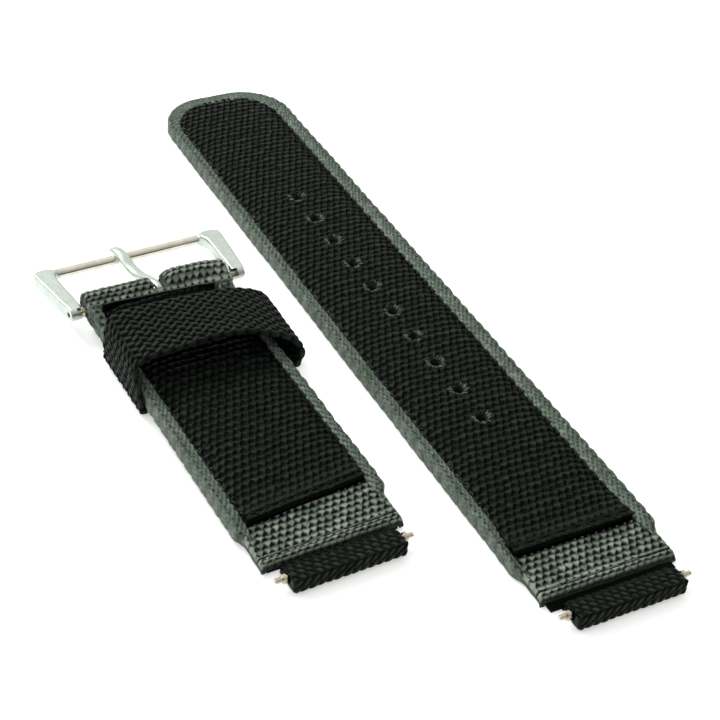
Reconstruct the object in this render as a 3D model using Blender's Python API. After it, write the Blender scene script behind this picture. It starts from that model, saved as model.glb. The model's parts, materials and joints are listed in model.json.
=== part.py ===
"""A two-piece woven watch strap: a holed piece, a buckle piece, a webbing keeper and three sprung bars.

Sizes are in metres. On each piece X runs across the strap, Y from its lug bar towards the free end,
and Z up from its underside.
"""

import math

import bmesh
import bpy
from mathutils import Euler, Matrix, Vector

# Webbing of both pieces
STRAP_WIDTH = 0.0240
LUG_WIDTH = 0.0224
LINING_THICK = 0.0005
WEB_THICK = 0.00125
OVERLAY_THICK = 0.00105
EDGE_THICK = 0.0007
LAYER_GAP = 0.00015
LINING_INSET = 0.0003
EDGE_INSET = 0.0001
SOFT_ROUND = 0.00025
SHOULDER_START = 0.0098
LIP_START = 0.0030

# Lug loop, for an 18 mm gap between the watch's lugs
LOOP_WIDTH = 0.0176
LOOP_NOSE = 0.0024
LOOP_HEIGHT = 0.0031
LOOP_BACK_HEIGHT = 0.0024
LOOP_TOP_ROUND = 0.0004
LOOP_BOTTOM_ROUND = 0.0012
LOOP_GAP = 0.00025
TAIL_THICK = 0.0005
TAIL_LENGTH = 0.0078

# Sprung bars
TUBE_RADIUS = 0.00075
TUBE_BORE = 0.00058
PISTON_RADIUS = 0.0005
PISTON_LENGTH = 0.0034
FLANGE_RADIUS = 0.00074
FLANGE_THICK = 0.0005
TIP_RADIUS = 0.0004
TIP_CHAMFER = 0.00008
BAR_CLEARANCE = 0.0001
LUG_BAR_HEIGHT = 0.0016
LUG_BAR_SPAN = 0.0216
LUG_TIP_LENGTH = 0.0011
LUG_PIN_TRAVEL = 0.0012
BUCKLE_TIP_LENGTH = 0.0016
BUCKLE_PIN_TRAVEL = 0.0016
TRAVEL_RESERVE = 0.0002
SPRING_WIRE = 0.0001
SPRING_RADIUS = 0.0004
SPRING_PITCH = 0.0011
SPRING_SEAT = 0.0002

# Holed piece
LONG_LENGTH = 0.1404
END_RADIUS = 0.0090
LONG_OVERLAY_WIDTH = 0.0192
LONG_OVERLAY_SHIFT = -0.00035
LONG_OVERLAY_START = 0.0111
END_BORDER = 0.0036
OVERLAY_END_RADIUS = 0.0074
HOLE_COUNT = 10
HOLE_PITCH = 0.00708
HOLE_FIRST = 0.0384
HOLE_RADIUS = 0.0011

# Buckle piece
SHORT_BAR_DISTANCE = 0.0627
SHORT_OVERLAY_WIDTH = 0.0184
SHORT_OVERLAY_SHIFT = -0.0005
SHORT_OVERLAY_START = 0.01065
FOLD_WALL = 0.0009
FOLD_RAISE = 0.0001
FOLD_TOP_LENGTH = 0.0028
FOLD_END_THICK = 0.00125
FOLD_EASE = 0.0040
SLOT_CLEARANCE = 0.0007
SLOT_BACK = 0.0005

# Buckle, measured from its bar
BUCKLE_SHIFT = 0.0003
BUCKLE_DROOP = math.radians(6.0)
ROD_DISTANCE = 0.0120
ROD_RADIUS = 0.0008
ROD_SPAN = 0.0248
FRAME_HEIGHT = 0.0022
ARM_REAR = 0.0012
ARM_REAR_WIDTH = 0.0021
ARM_FRONT_WIDTH = 0.0031
FRAME_INNER_REAR = 0.0257
FRAME_INNER_FRONT = 0.0269
CORNER_CUT = 0.0007
INNER_FILLET = 0.0018
ARM_HOLE_CLEARANCE = 0.00008
ROUND_POWER = 2.0
REAR_POWER = 2.6
ARM_POWER = 5.0
NOTCH_WIDTH = 0.0052
NOTCH_DEPTH = 0.00035

# Tongue
TONGUE_WIDTH = 0.0019
TONGUE_THICK = 0.0011
CURL_THICK = 0.0009
CURL_CLEARANCE = 0.0002
CURL_OPENING = math.radians(35.0)
TONGUE_SKEW = math.radians(7.0)
TONGUE_DIP = 0.0001
TONGUE_DIP_SHARE = 0.60
TONGUE_REST_GAP = 0.00015
TONGUE_OVERHANG = 0.0025
TONGUE_TIP_DROP = 0.0012
TONGUE_ROUND = 0.0003

# Keeper
KEEPER_SETBACK = 0.0082
KEEPER_LENGTH = 0.0129
KEEPER_WALL = 0.0012
KEEPER_SNUG = 0.00025
KEEPER_SLACK = 0.0023
KEEPER_UNDER = 0.0002
KEEPER_OVER = 0.00075
KEEPER_ARCH = 0.0022
KEEPER_TIGHT_ROUND = 0.0008
KEEPER_FULL_ROUND = 0.0019

# Sewing thread
THREAD_RADIUS = 0.00015
THREAD_LIFT = 0.0001
SIDE_SEAM_INSET = 0.0004
END_SEAM_INSET = 0.0009
LUG_THREAD_AT = 0.0056
LUG_THREAD_MARGIN = 0.0016

# Where the buckle piece lies beside the holed one
SHORT_ASIDE = 0.0321
SHORT_AHEAD = 0.0212
SHORT_TURN = math.radians(2.0)

# Cutters run past what they cut
OVERRUN = 0.002

# Mesh fineness
ROUND_STEPS = 20
ARC_STEPS = 8
CORNER_STEPS = 4
HOLE_STEPS = 16
THREAD_SIDES = 5
SPRING_STEPS = 8

# Heights and half widths worked out from the sizes above
WEB_BOTTOM = LINING_THICK + LAYER_GAP
WEB_TOP = WEB_BOTTOM + WEB_THICK
COVER_BOTTOM = WEB_TOP + LAYER_GAP
OVERLAY_TOP = COVER_BOTTOM + OVERLAY_THICK
STRAP_HALF = STRAP_WIDTH / 2
LUG_HALF = LUG_WIDTH / 2
BORE_RADIUS = TUBE_RADIUS + BAR_CLEARANCE
FOLD_RADIUS = BORE_RADIUS + FOLD_WALL
BUCKLE_BAR_HEIGHT = FOLD_RAISE + FOLD_RADIUS
FOLD_END = SHORT_BAR_DISTANCE - FOLD_TOP_LENGTH
COVER_END = FOLD_END - LAYER_GAP
KEEPER_START = SHORT_BAR_DISTANCE - KEEPER_SETBACK - KEEPER_LENGTH
CURL_INNER = TUBE_RADIUS + CURL_CLEARANCE
CURL_OUTER = CURL_INNER + CURL_THICK
BUCKLE_BAR_SPAN = FRAME_INNER_REAR + 2 * (BUCKLE_PIN_TRAVEL - TRAVEL_RESERVE)


def clear_scene():
    for thing in list(bpy.data.objects):
        bpy.data.objects.remove(thing, do_unlink=True)


def material(name, colour, roughness, metallic):
    made = bpy.data.materials.new(name)
    made.use_nodes = True
    shader = made.node_tree.nodes["Principled BSDF"]
    shader.inputs["Base Color"].default_value = (*colour, 1.0)
    shader.inputs["Roughness"].default_value = roughness
    shader.inputs["Metallic"].default_value = metallic
    return made


def grey_webbing(name):
    return material(name, (0.105, 0.125, 0.110), 0.85, 0.0)


def black_webbing(name):
    return material(name, (0.010, 0.011, 0.010), 0.75, 0.0)


def lining_cloth(name):
    return material(name, (0.014, 0.015, 0.014), 0.9, 0.0)


def sewing_thread(name):
    return material(name, (0.030, 0.040, 0.034), 0.7, 0.0)


def buckle_steel(name):
    return material(name, (0.60, 0.62, 0.58), 0.28, 1.0)


def bar_steel(name):
    return material(name, (0.58, 0.56, 0.50), 0.2, 1.0)


def add_object(name, bm, made, parent):
    """A new object from a finished bmesh, with its faces turned outwards."""
    bmesh.ops.recalc_face_normals(bm, faces=bm.faces)
    mesh = bpy.data.meshes.new(name)
    bm.to_mesh(mesh)
    bm.free()
    thing = bpy.data.objects.new(name, mesh)
    bpy.context.scene.collection.objects.link(thing)
    thing.parent = parent
    if made:
        mesh.materials.append(made)
    return thing


def add_empty(name, parent, place=(0, 0, 0), turn=(0, 0, 0)):
    thing = bpy.data.objects.new(name, None)
    bpy.context.scene.collection.objects.link(thing)
    thing.parent = parent
    thing.location = place
    thing.rotation_euler = turn
    return thing


def as_cutter(thing):
    thing.hide_render = True
    thing.display_type = "WIRE"
    return thing


def cut(thing, cutter):
    step = thing.modifiers.new("cut_" + cutter.name, "BOOLEAN")
    step.operation = "DIFFERENCE"
    step.solver = "EXACT"
    step.object = cutter


def soften(thing, width, segments=2):
    step = thing.modifiers.new("soft_edges", "BEVEL")
    step.width = width
    step.segments = segments
    step.limit_method = "ANGLE"


def shade_round(thing):
    thing.data.shade_smooth()
    thing.data.set_sharp_from_angle(angle=math.radians(40))


def arc(centre, radius, start, end, steps):
    """Points along an arc, with angles in degrees."""
    points = []
    for i in range(steps + 1):
        angle = math.radians(start + (end - start) * i / steps)
        points.append((centre[0] + radius * math.cos(angle), centre[1] + radius * math.sin(angle)))
    return points


def bow(start, end, rise, steps):
    """The points between two places of equal height, on half a wave that rises between them."""
    points = []
    for i in range(1, steps):
        share = i / steps
        height = start[1] + rise * math.sin(math.pi * share)
        points.append((start[0] + (end[0] - start[0]) * share, height))
    return points


def prism(outline, low, high, axis):
    """The outline, extruded from low to high along axis: 0 puts it in YZ, 1 in XZ and 2 in XY."""
    bm = bmesh.new()
    rings = []
    for level in (low, high):
        ring = []
        for a, b in outline:
            place = [a, b]
            place.insert(axis, level)
            ring.append(bm.verts.new(place))
        rings.append(ring)
    count = len(outline)
    for i in range(count):
        j = (i + 1) % count
        bm.faces.new((rings[0][i], rings[0][j], rings[1][j], rings[1][i]))
    bm.faces.new(rings[0][::-1])
    bm.faces.new(rings[1])
    return bm


def band(outer, inner, low, high, axis, closed):
    """A strip between two outlines of as many points, extruded from low to high along axis."""
    bm = bmesh.new()

    def ring(outline, level):
        made = []
        for a, b in outline:
            place = [a, b]
            place.insert(axis, level)
            made.append(bm.verts.new(place))
        return made

    loops = [ring(outer, low), ring(outer, high), ring(inner, high), ring(inner, low)]
    count = len(outer)
    for i in range(count if closed else count - 1):
        j = (i + 1) % count
        for k in range(4):
            first, second = loops[k], loops[(k + 1) % 4]
            bm.faces.new((first[i], first[j], second[j], second[i]))
    if not closed:
        bm.faces.new([loop[0] for loop in loops])
        bm.faces.new([loop[-1] for loop in loops[::-1]])
    return bm


def loft(rings, closed):
    """Skins equal rings of points in turn, with flat caps at the ends unless they close on themselves."""
    bm = bmesh.new()
    made = [[bm.verts.new(point) for point in ring] for ring in rings]
    count = len(rings[0])
    for i in range(len(made) if closed else len(made) - 1):
        near, far = made[i], made[(i + 1) % len(made)]
        for k in range(count):
            j = (k + 1) % count
            bm.faces.new((near[k], near[j], far[j], far[k]))
    if not closed:
        bm.faces.new(made[0][::-1])
        bm.faces.new(made[-1])
    return bm


def turned(profile, steps):
    """A round piece about the X axis, from (x, radius) points whose ends are flat faces."""
    rings = []
    for x, radius in profile:
        ring = []
        for k in range(steps):
            angle = math.tau * k / steps
            ring.append((x, radius * math.cos(angle), radius * math.sin(angle)))
        rings.append(ring)
    return loft(rings, closed=False)


def hollow_turned(profile, steps):
    """As turned, with a profile that closes on itself round a bore."""
    rings = []
    for k in range(steps):
        angle = math.tau * k / steps
        rings.append([(x, r * math.cos(angle), r * math.sin(angle)) for x, r in profile])
    return loft(rings, closed=True)


def tube_along(points, radius, sides, closed):
    """A round cord along the points, carried along with no twist."""
    points = [Vector(point) for point in points]
    count = len(points)
    rings = []
    normal = None
    for i, point in enumerate(points):
        before = points[i - 1] if closed or i else point
        after = points[(i + 1) % count] if closed or i < count - 1 else point
        along = (after - before).normalized()
        if normal is None:
            normal = along.orthogonal().normalized()
        normal = (normal - along * normal.dot(along)).normalized()
        side = along.cross(normal)
        ring = []
        for k in range(sides):
            angle = math.tau * k / sides
            ring.append(point + radius * (math.cos(angle) * normal + math.sin(angle) * side))
        rings.append(ring)
    return loft(rings, closed)


def rounded_end(left, right, end, radius):
    """The free end of a strap layer, from its left side over the top to its right side."""
    points = arc((left + radius, end - radius), radius, 180, 90, ARC_STEPS)
    return points + arc((right - radius, end - radius), radius, 90, 0, ARC_STEPS)


def web_outline(inset, end):
    """The holed piece's plan: a narrow stretch at the lugs, then the full width up to the rounded end."""
    lug, side = LUG_HALF - inset, STRAP_HALF - inset
    shoulder = SHOULDER_START + inset
    points = [(-lug, LIP_START), (-lug, shoulder), (-side, shoulder)]
    points += rounded_end(-side, side, end - inset, END_RADIUS - inset)
    return points + [(side, shoulder), (lug, shoulder), (lug, LIP_START)]


def box_outline(left, right, near, far):
    return [(left, near), (left, far), (right, far), (right, near)]


def long_overlay_outline(grow):
    """The overlay's plan, grown on all sides but the lug end."""
    half = LONG_OVERLAY_WIDTH / 2 + grow
    left, right = LONG_OVERLAY_SHIFT - half, LONG_OVERLAY_SHIFT + half
    end = LONG_LENGTH - END_BORDER + grow
    return rounded_end(left, right, end, OVERLAY_END_RADIUS + grow), left, right


def add_hole_cutter(parent):
    """Round bars through every adjustment hole."""
    bm = bmesh.new()
    depth = OVERLAY_TOP + 2 * OVERRUN
    for i in range(HOLE_COUNT):
        place = Vector((LONG_OVERLAY_SHIFT, HOLE_FIRST + i * HOLE_PITCH, OVERLAY_TOP / 2))
        bmesh.ops.create_cone(bm, cap_ends=True, segments=HOLE_STEPS, radius1=HOLE_RADIUS,
                              radius2=HOLE_RADIUS, depth=depth, matrix=Matrix.Translation(place))
    return as_cutter(add_object("hole_cutter", bm, None, parent))


def add_pocket_cutter(name, parent):
    """The room that the lug loop's tail takes under the webbing."""
    half = LOOP_WIDTH / 2 + LAYER_GAP
    near, far = LIP_START - OVERRUN, LIP_START + TAIL_LENGTH + LAYER_GAP
    roof = WEB_BOTTOM + TAIL_THICK + LAYER_GAP
    bm = prism(box_outline(-half, half, near, far), -OVERRUN, roof, 2)
    return as_cutter(add_object(name + "_pocket_cutter", bm, None, parent))


def add_bore_cutter(name, centre, half, parent):
    """A round bar along X for a bore that a sprung bar lies in."""
    bm = turned([(-half, BORE_RADIUS), (half, BORE_RADIUS)], ROUND_STEPS)
    thing = as_cutter(add_object(name + "_bore_cutter", bm, None, parent))
    thing.location = centre
    return thing


def add_lug_loop(name, parent):
    """Black webbing folded round the lug bar, with a thin tail sewn between the layers."""
    back = LIP_START - LOOP_GAP
    low, high = WEB_BOTTOM, WEB_BOTTOM + TAIL_THICK
    tail = LIP_START + TAIL_LENGTH
    outline = [(tail, low), (tail, high), (back, high), (back, LOOP_BACK_HEIGHT)]
    top = (-LOOP_NOSE + LOOP_TOP_ROUND, LOOP_HEIGHT - LOOP_TOP_ROUND)
    outline += arc(top, LOOP_TOP_ROUND, 80, 180, CORNER_STEPS)
    bottom = (-LOOP_NOSE + LOOP_BOTTOM_ROUND, LOOP_BOTTOM_ROUND)
    outline += arc(bottom, LOOP_BOTTOM_ROUND, 180, 270, ARC_STEPS)
    outline += [(back, 0), (back, low)]
    thing = add_object(name, prism(outline, -LOOP_WIDTH / 2, LOOP_WIDTH / 2, 0), black_webbing(name), parent)
    cut(thing, add_bore_cutter(name, (0, 0, LUG_BAR_HEIGHT), LOOP_WIDTH / 2 + OVERRUN, parent))
    shade_round(thing)


def add_bar(name, parent, place, span, tip_length, travel):
    """A sprung bar: an open tube, a flanged pin at each end, and the coil spring between the pins."""
    half = span / 2
    flange_out = half - tip_length
    flange_in = flange_out - FLANGE_THICK
    piston_end = flange_in - PISTON_LENGTH
    tube_half = flange_in - travel - TRAVEL_RESERVE
    wall = [(-tube_half, TUBE_BORE), (-tube_half, TUBE_RADIUS),
            (tube_half, TUBE_RADIUS), (tube_half, TUBE_BORE)]
    tube = add_object(name + "_tube", hollow_turned(wall, ROUND_STEPS), bar_steel(name + "_tube"), parent)
    tube.location = place
    shade_round(tube)
    profile = [(piston_end, PISTON_RADIUS), (flange_in, PISTON_RADIUS), (flange_in, FLANGE_RADIUS),
               (flange_out, FLANGE_RADIUS), (flange_out, TIP_RADIUS), (half - TIP_CHAMFER, TIP_RADIUS),
               (half, TIP_RADIUS - TIP_CHAMFER)]
    for side, word in ((-1, "left"), (1, "right")):
        pin_name = name + "_pin_" + word
        mirrored = [(side * x, r) for x, r in profile]
        pin = add_object(pin_name, turned(mirrored, ROUND_STEPS), bar_steel(pin_name), parent)
        pin.location = place
        shade_round(pin)
    add_spring(name + "_spring", parent, place, piston_end - SPRING_SEAT)


def add_spring(name, parent, place, half):
    """A coil spring along X, from -half to half."""
    reach = half - SPRING_WIRE
    turns = max(3, round(2 * reach / SPRING_PITCH))
    points = []
    for i in range(turns * SPRING_STEPS + 1):
        angle = math.tau * i / SPRING_STEPS
        x = -reach + 2 * reach * i / (turns * SPRING_STEPS)
        points.append((x, SPRING_RADIUS * math.cos(angle), SPRING_RADIUS * math.sin(angle)))
    bm = tube_along(points, SPRING_WIRE, THREAD_SIDES, closed=False)
    thing = add_object(name, bm, bar_steel(name), parent)
    thing.location = place
    shade_round(thing)


def add_lug_thread(name, parent):
    """The seam across the lug end, a thread lying on the webbing."""
    half = LUG_HALF - LUG_THREAD_MARGIN
    height = WEB_TOP + THREAD_LIFT + THREAD_RADIUS
    points = [(-half, LUG_THREAD_AT, height), (0, LUG_THREAD_AT, height), (half, LUG_THREAD_AT, height)]
    bm = tube_along(points, THREAD_RADIUS, THREAD_SIDES, closed=False)
    shade_round(add_object(name, bm, sewing_thread(name), parent))


def add_overlay_thread(name, plan, parent):
    """The seam that runs all round an overlay, a thread lying on it."""
    height = OVERLAY_TOP + THREAD_LIFT + THREAD_RADIUS
    points = [(x, y, height) for x, y in plan]
    bm = tube_along(points, THREAD_RADIUS, THREAD_SIDES, closed=True)
    shade_round(add_object(name, bm, sewing_thread(name), parent))


def add_long_piece(parent):
    """The holed piece, from its lug loop to its rounded end."""
    holes = add_hole_cutter(parent)
    pocket = add_pocket_cutter("long", parent)

    web = add_object("long_base_webbing", prism(web_outline(0, LONG_LENGTH), WEB_BOTTOM, WEB_TOP, 2),
                     grey_webbing("long_base_webbing"), parent)
    soften(web, SOFT_ROUND)
    cut(web, holes)
    cut(web, pocket)

    lining = add_object("long_lining", prism(web_outline(LINING_INSET, LONG_LENGTH), 0, LINING_THICK, 2),
                        lining_cloth("long_lining"), parent)
    cut(lining, holes)

    end, left, right = long_overlay_outline(0)
    plan = [(left, LONG_OVERLAY_START)] + end + [(right, LONG_OVERLAY_START)]
    overlay = add_object("long_top_overlay", prism(plan, COVER_BOTTOM, OVERLAY_TOP, 2),
                         black_webbing("long_top_overlay"), parent)
    soften(overlay, SOFT_ROUND)
    cut(overlay, holes)

    side = STRAP_HALF - EDGE_INSET
    far = LONG_LENGTH - EDGE_INSET
    outer = [(-side, SHOULDER_START)] + rounded_end(-side, side, far, END_RADIUS - EDGE_INSET)
    outer.append((side, SHOULDER_START))
    end, left, right = long_overlay_outline(LAYER_GAP)
    inner = [(left, SHOULDER_START)] + end + [(right, SHOULDER_START)]
    bm = band(outer, inner, COVER_BOTTOM, COVER_BOTTOM + EDGE_THICK, 2, False)
    edge = add_object("long_edge_strip", bm, grey_webbing("long_edge_strip"), parent)
    soften(edge, SOFT_ROUND)

    end, left, right = long_overlay_outline(-SIDE_SEAM_INSET)
    start = LONG_OVERLAY_START + END_SEAM_INSET
    add_overlay_thread("long_overlay_thread", [(left, start)] + end + [(right, start)], parent)
    add_lug_loop("long_lug_loop", parent)
    add_lug_thread("long_lug_thread", parent)
    add_bar("long_bar", parent, (0, 0, LUG_BAR_HEIGHT), LUG_BAR_SPAN, LUG_TIP_LENGTH, LUG_PIN_TRAVEL)
    for thing in (web, lining, overlay, edge):
        shade_round(thing)


def short_web_profile():
    """The buckle piece's webbing seen from its side: flat, then round the buckle's bar and back on top."""
    bar, height = SHORT_BAR_DISTANCE, BUCKLE_BAR_HEIGHT
    points = [(LIP_START, WEB_BOTTOM), (bar - FOLD_EASE, WEB_BOTTOM)]
    points += arc((bar, height), FOLD_RADIUS, -90, 90, 2 * ARC_STEPS)
    points += [(FOLD_END, COVER_BOTTOM + FOLD_END_THICK), (FOLD_END, COVER_BOTTOM)]
    upper = 180 - math.degrees(math.asin((COVER_BOTTOM - height) / BORE_RADIUS))
    lower = math.degrees(math.asin((WEB_TOP - height) / BORE_RADIUS)) - 180
    points += arc((bar, height), BORE_RADIUS, upper, -180 - (180 + lower), 2 * ROUND_STEPS)
    return points + [(LIP_START, WEB_TOP)]


def add_shoulder_cutter(side, word, parent):
    """Takes one side of the webbing in along the lug end."""
    near, far = LIP_START - OVERRUN, SHOULDER_START
    edges = sorted((side * LUG_HALF, side * (STRAP_HALF + OVERRUN)))
    bm = prism(box_outline(edges[0], edges[1], near, far), -OVERRUN, OVERLAY_TOP + OVERRUN, 2)
    return as_cutter(add_object("shoulder_cutter_" + word, bm, None, parent))


def add_slot_cutter(parent):
    """The slot that the tongue swings in."""
    half = TONGUE_WIDTH / 2 + SLOT_CLEARANCE
    near = SHORT_BAR_DISTANCE - CURL_OUTER - SLOT_BACK
    far = SHORT_BAR_DISTANCE + FOLD_RADIUS + OVERRUN
    plan = box_outline(BUCKLE_SHIFT - half, BUCKLE_SHIFT + half, near, far)
    bm = prism(plan, -OVERRUN, OVERLAY_TOP + OVERRUN, 2)
    return as_cutter(add_object("slot_cutter", bm, None, parent))


def add_short_piece(parent):
    """The buckle piece's webbing and layers."""
    web = add_object("short_base_webbing", prism(short_web_profile(), -STRAP_HALF, STRAP_HALF, 0),
                     grey_webbing("short_base_webbing"), parent)
    cut(web, add_shoulder_cutter(-1, "left", parent))
    cut(web, add_shoulder_cutter(1, "right", parent))
    cut(web, add_pocket_cutter("short", parent))
    cut(web, add_slot_cutter(parent))

    side = STRAP_HALF - LINING_INSET
    lug = LUG_HALF - LINING_INSET
    shoulder = SHOULDER_START + LINING_INSET
    far = SHORT_BAR_DISTANCE - FOLD_EASE - LAYER_GAP
    plan = [(-lug, LIP_START), (-lug, shoulder), (-side, shoulder), (-side, far),
            (side, far), (side, shoulder), (lug, shoulder), (lug, LIP_START)]
    lining = add_object("short_lining", prism(plan, 0, LINING_THICK, 2), lining_cloth("short_lining"), parent)

    half = SHORT_OVERLAY_WIDTH / 2
    left, right = SHORT_OVERLAY_SHIFT - half, SHORT_OVERLAY_SHIFT + half
    plan = box_outline(left, right, SHORT_OVERLAY_START, COVER_END)
    overlay = add_object("short_top_overlay", prism(plan, COVER_BOTTOM, OVERLAY_TOP, 2),
                         black_webbing("short_top_overlay"), parent)
    soften(overlay, SOFT_ROUND)

    outer = STRAP_HALF - EDGE_INSET
    strips = (("short_edge_strip_left", -outer, left - LAYER_GAP),
              ("short_edge_strip_right", right + LAYER_GAP, outer))
    for name, low, high in strips:
        plan = box_outline(low, high, SHOULDER_START, COVER_END)
        bm = prism(plan, COVER_BOTTOM, COVER_BOTTOM + EDGE_THICK, 2)
        strip = add_object(name, bm, grey_webbing(name), parent)
        soften(strip, SOFT_ROUND)
        shade_round(strip)

    seam = box_outline(left + SIDE_SEAM_INSET, right - SIDE_SEAM_INSET, SHORT_OVERLAY_START + END_SEAM_INSET,
                       COVER_END - SIDE_SEAM_INSET)
    add_overlay_thread("short_overlay_thread", seam, parent)
    add_lug_loop("short_lug_loop", parent)
    add_lug_thread("short_lug_thread", parent)
    add_bar("short_bar", parent, (0, 0, LUG_BAR_HEIGHT), LUG_BAR_SPAN, LUG_TIP_LENGTH, LUG_PIN_TRAVEL)
    for thing in (web, lining, overlay):
        shade_round(thing)


def frame_ring(inner, outer, half_height, power):
    """A section of the frame between two plan points: flatter on top as power grows, round underneath."""
    middle = [(a + b) / 2 for a, b in zip(inner, outer)]
    reach = [(b - a) / 2 for a, b in zip(inner, outer)]
    ring = []
    for k in range(ROUND_STEPS):
        angle = math.tau * k / ROUND_STEPS
        across, up = math.cos(angle), math.sin(angle)
        share = 2 / power if up > 0 else 1
        across = math.copysign(abs(across) ** share, across)
        up = math.copysign(abs(up) ** share, up)
        ring.append((middle[0] + across * reach[0], middle[1] + across * reach[1], up * half_height))
    return ring


def frame_stations():
    """Right half of the frame from the arm's rear end to the rod: inner and outer points, height, power."""
    inner_rear, inner_front = FRAME_INNER_REAR / 2, FRAME_INNER_FRONT / 2
    front = ROD_DISTANCE + ROD_RADIUS
    rod_back = ROD_DISTANCE - ROD_RADIUS
    corner = front - CORNER_CUT
    fillet = rod_back - INNER_FILLET
    half = FRAME_HEIGHT / 2
    outer_rear, outer_front = inner_rear + ARM_REAR_WIDTH, inner_front + ARM_FRONT_WIDTH
    rod_end = ROD_SPAN / 2

    def slope(near, far, along):
        return near + (far - near) * (along + ARM_REAR) / (corner + ARM_REAR)

    rows = []
    starts = ((-ARM_REAR, ROUND_POWER), (0, REAR_POWER), (fillet / 2, ARM_POWER), (fillet, ARM_POWER))
    for along, power in starts:
        inner = (slope(inner_rear, inner_front, along), along)
        outer = (slope(outer_rear, outer_front, along), along)
        rows.append((inner, outer, half, power))
    shares = ((0.25, 0.55), (0.62, 0.86))
    for inward_share, forward_share in shares:
        inner = (inner_front - (inner_front - rod_end) * inward_share * inward_share,
                 fillet + (rod_back - fillet) * forward_share)
        rise = fillet + (corner - fillet) * forward_share
        rows.append((inner, (slope(outer_rear, outer_front, rise), rise), half, ARM_POWER))
    near = (inner_front - rod_end) * shares[0][0]
    rows.append(((rod_end + near, rod_back), (outer_front, corner), half, ARM_POWER))
    rows.append(((rod_end + near / 2, rod_back), ((outer_front + rod_end) / 2, (corner + front) / 2),
                 half, ARM_POWER))
    rows.append(((rod_end, rod_back), (rod_end + ROD_RADIUS / 2, front), ROD_RADIUS, ROUND_POWER))
    return rows


def add_buckle_frame(parent):
    """A steel U with flat-topped arms, and a round rod across its front that the tongue rests on."""
    right = frame_stations()
    rings = [frame_ring(*row) for row in right]
    left = []
    for inner, outer, half, square in reversed(right):
        left.append([(-x, y, z) for x, y, z in frame_ring(inner, outer, half, square)])
    frame = add_object("buckle_frame", loft(rings + left, closed=False), buckle_steel("buckle_frame"), parent)
    reach = FRAME_INNER_FRONT / 2 + ARM_FRONT_WIDTH + OVERRUN
    hole = TIP_RADIUS + ARM_HOLE_CLEARANCE
    bm = turned([(-reach, hole), (reach, hole)], ROUND_STEPS)
    cut(frame, as_cutter(add_object("arm_hole_cutter", bm, None, parent)))
    half = NOTCH_WIDTH / 2
    plan = box_outline(-half, half, ROD_DISTANCE - ROD_RADIUS - OVERRUN, ROD_DISTANCE + ROD_RADIUS + OVERRUN)
    notch = prism(plan, ROD_RADIUS - NOTCH_DEPTH, ROD_RADIUS + OVERRUN, 2)
    cut(frame, as_cutter(add_object("notch_cutter", notch, None, parent)))
    shade_round(frame)


def tongue_line():
    """The tongue's centre line seen from its side, with its thickness at each point."""
    curl = CURL_INNER + CURL_THICK / 2
    points = []
    for y, z in arc((0, 0), curl, -math.degrees(CURL_OPENING), -270, 2 * ARC_STEPS):
        points.append((y, z, CURL_THICK))
    rest = ROD_RADIUS - NOTCH_DEPTH + TONGUE_REST_GAP + TONGUE_THICK / 2
    dip = ROD_DISTANCE * TONGUE_DIP_SHARE
    ends = ((0, curl, CURL_THICK), (dip, TONGUE_DIP, TONGUE_THICK), (ROD_DISTANCE, rest, TONGUE_THICK))
    for near, far in zip(ends, ends[1:]):
        for i in range(1, ARC_STEPS + 1):
            share = i / ARC_STEPS
            ease = (1 - math.cos(math.pi * share)) / 2
            thick = near[2] + (far[2] - near[2]) * share
            points.append((near[0] + (far[0] - near[0]) * share, near[1] + (far[1] - near[1]) * ease, thick))
    for i in range(1, ARC_STEPS + 1):
        angle = math.pi / 2 * i / ARC_STEPS
        points.append((ROD_DISTANCE + TONGUE_OVERHANG * math.sin(angle),
                       rest - TONGUE_TIP_DROP * (1 - math.cos(angle)), TONGUE_THICK))
    return points


def add_tongue(parent):
    """A steel strip curled round the bar, dipping and then arching over the rod."""
    line = tongue_line()
    upper, lower = [], []
    for i, (y, z, thick) in enumerate(line):
        before, after = line[max(i - 1, 0)], line[min(i + 1, len(line) - 1)]
        along = Vector((after[0] - before[0], after[1] - before[1])).normalized()
        upper.append((y - along.y * thick / 2, z + along.x * thick / 2))
        lower.append((y + along.y * thick / 2, z - along.x * thick / 2))
    outline = upper + lower[::-1]
    bm = prism(outline, -TONGUE_WIDTH / 2, TONGUE_WIDTH / 2, 0)
    thing = add_object("buckle_tongue", bm, buckle_steel("buckle_tongue"), parent)
    thing.rotation_euler = (0, 0, TONGUE_SKEW)
    soften(thing, TONGUE_ROUND)
    shade_round(thing)


def add_buckle(parent):
    """The buckle's bar in the fold, and the frame and tongue that swing about it."""
    place = (BUCKLE_SHIFT, SHORT_BAR_DISTANCE, BUCKLE_BAR_HEIGHT)
    add_bar("buckle_bar", parent, place, BUCKLE_BAR_SPAN, BUCKLE_TIP_LENGTH, BUCKLE_PIN_TRAVEL)
    axis = add_empty("buckle_axis", parent, place, (-BUCKLE_DROOP, 0, 0))
    add_buckle_frame(axis)
    add_tongue(axis)


def keeper_outline(grow):
    """The keeper's inside, seen along the strap with its arched top, grown outwards by the wall."""
    left = -STRAP_HALF - KEEPER_SNUG - grow
    right = STRAP_HALF + KEEPER_SLACK + grow
    low = -KEEPER_UNDER - grow
    high = OVERLAY_TOP + KEEPER_OVER + grow
    tight, full = KEEPER_TIGHT_ROUND + grow, KEEPER_FULL_ROUND + grow
    points = arc((left + tight, low + tight), tight, 270, 180, CORNER_STEPS)
    points += arc((left + tight, high - tight), tight, 180, 90, CORNER_STEPS)
    points += bow((left + tight, high), (right - full, high), KEEPER_ARCH, ROUND_STEPS)
    points += arc((right - full, high - full), full, 90, 0, ARC_STEPS)
    return points + arc((right - full, low + full), full, 0, -90, ARC_STEPS)


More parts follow.
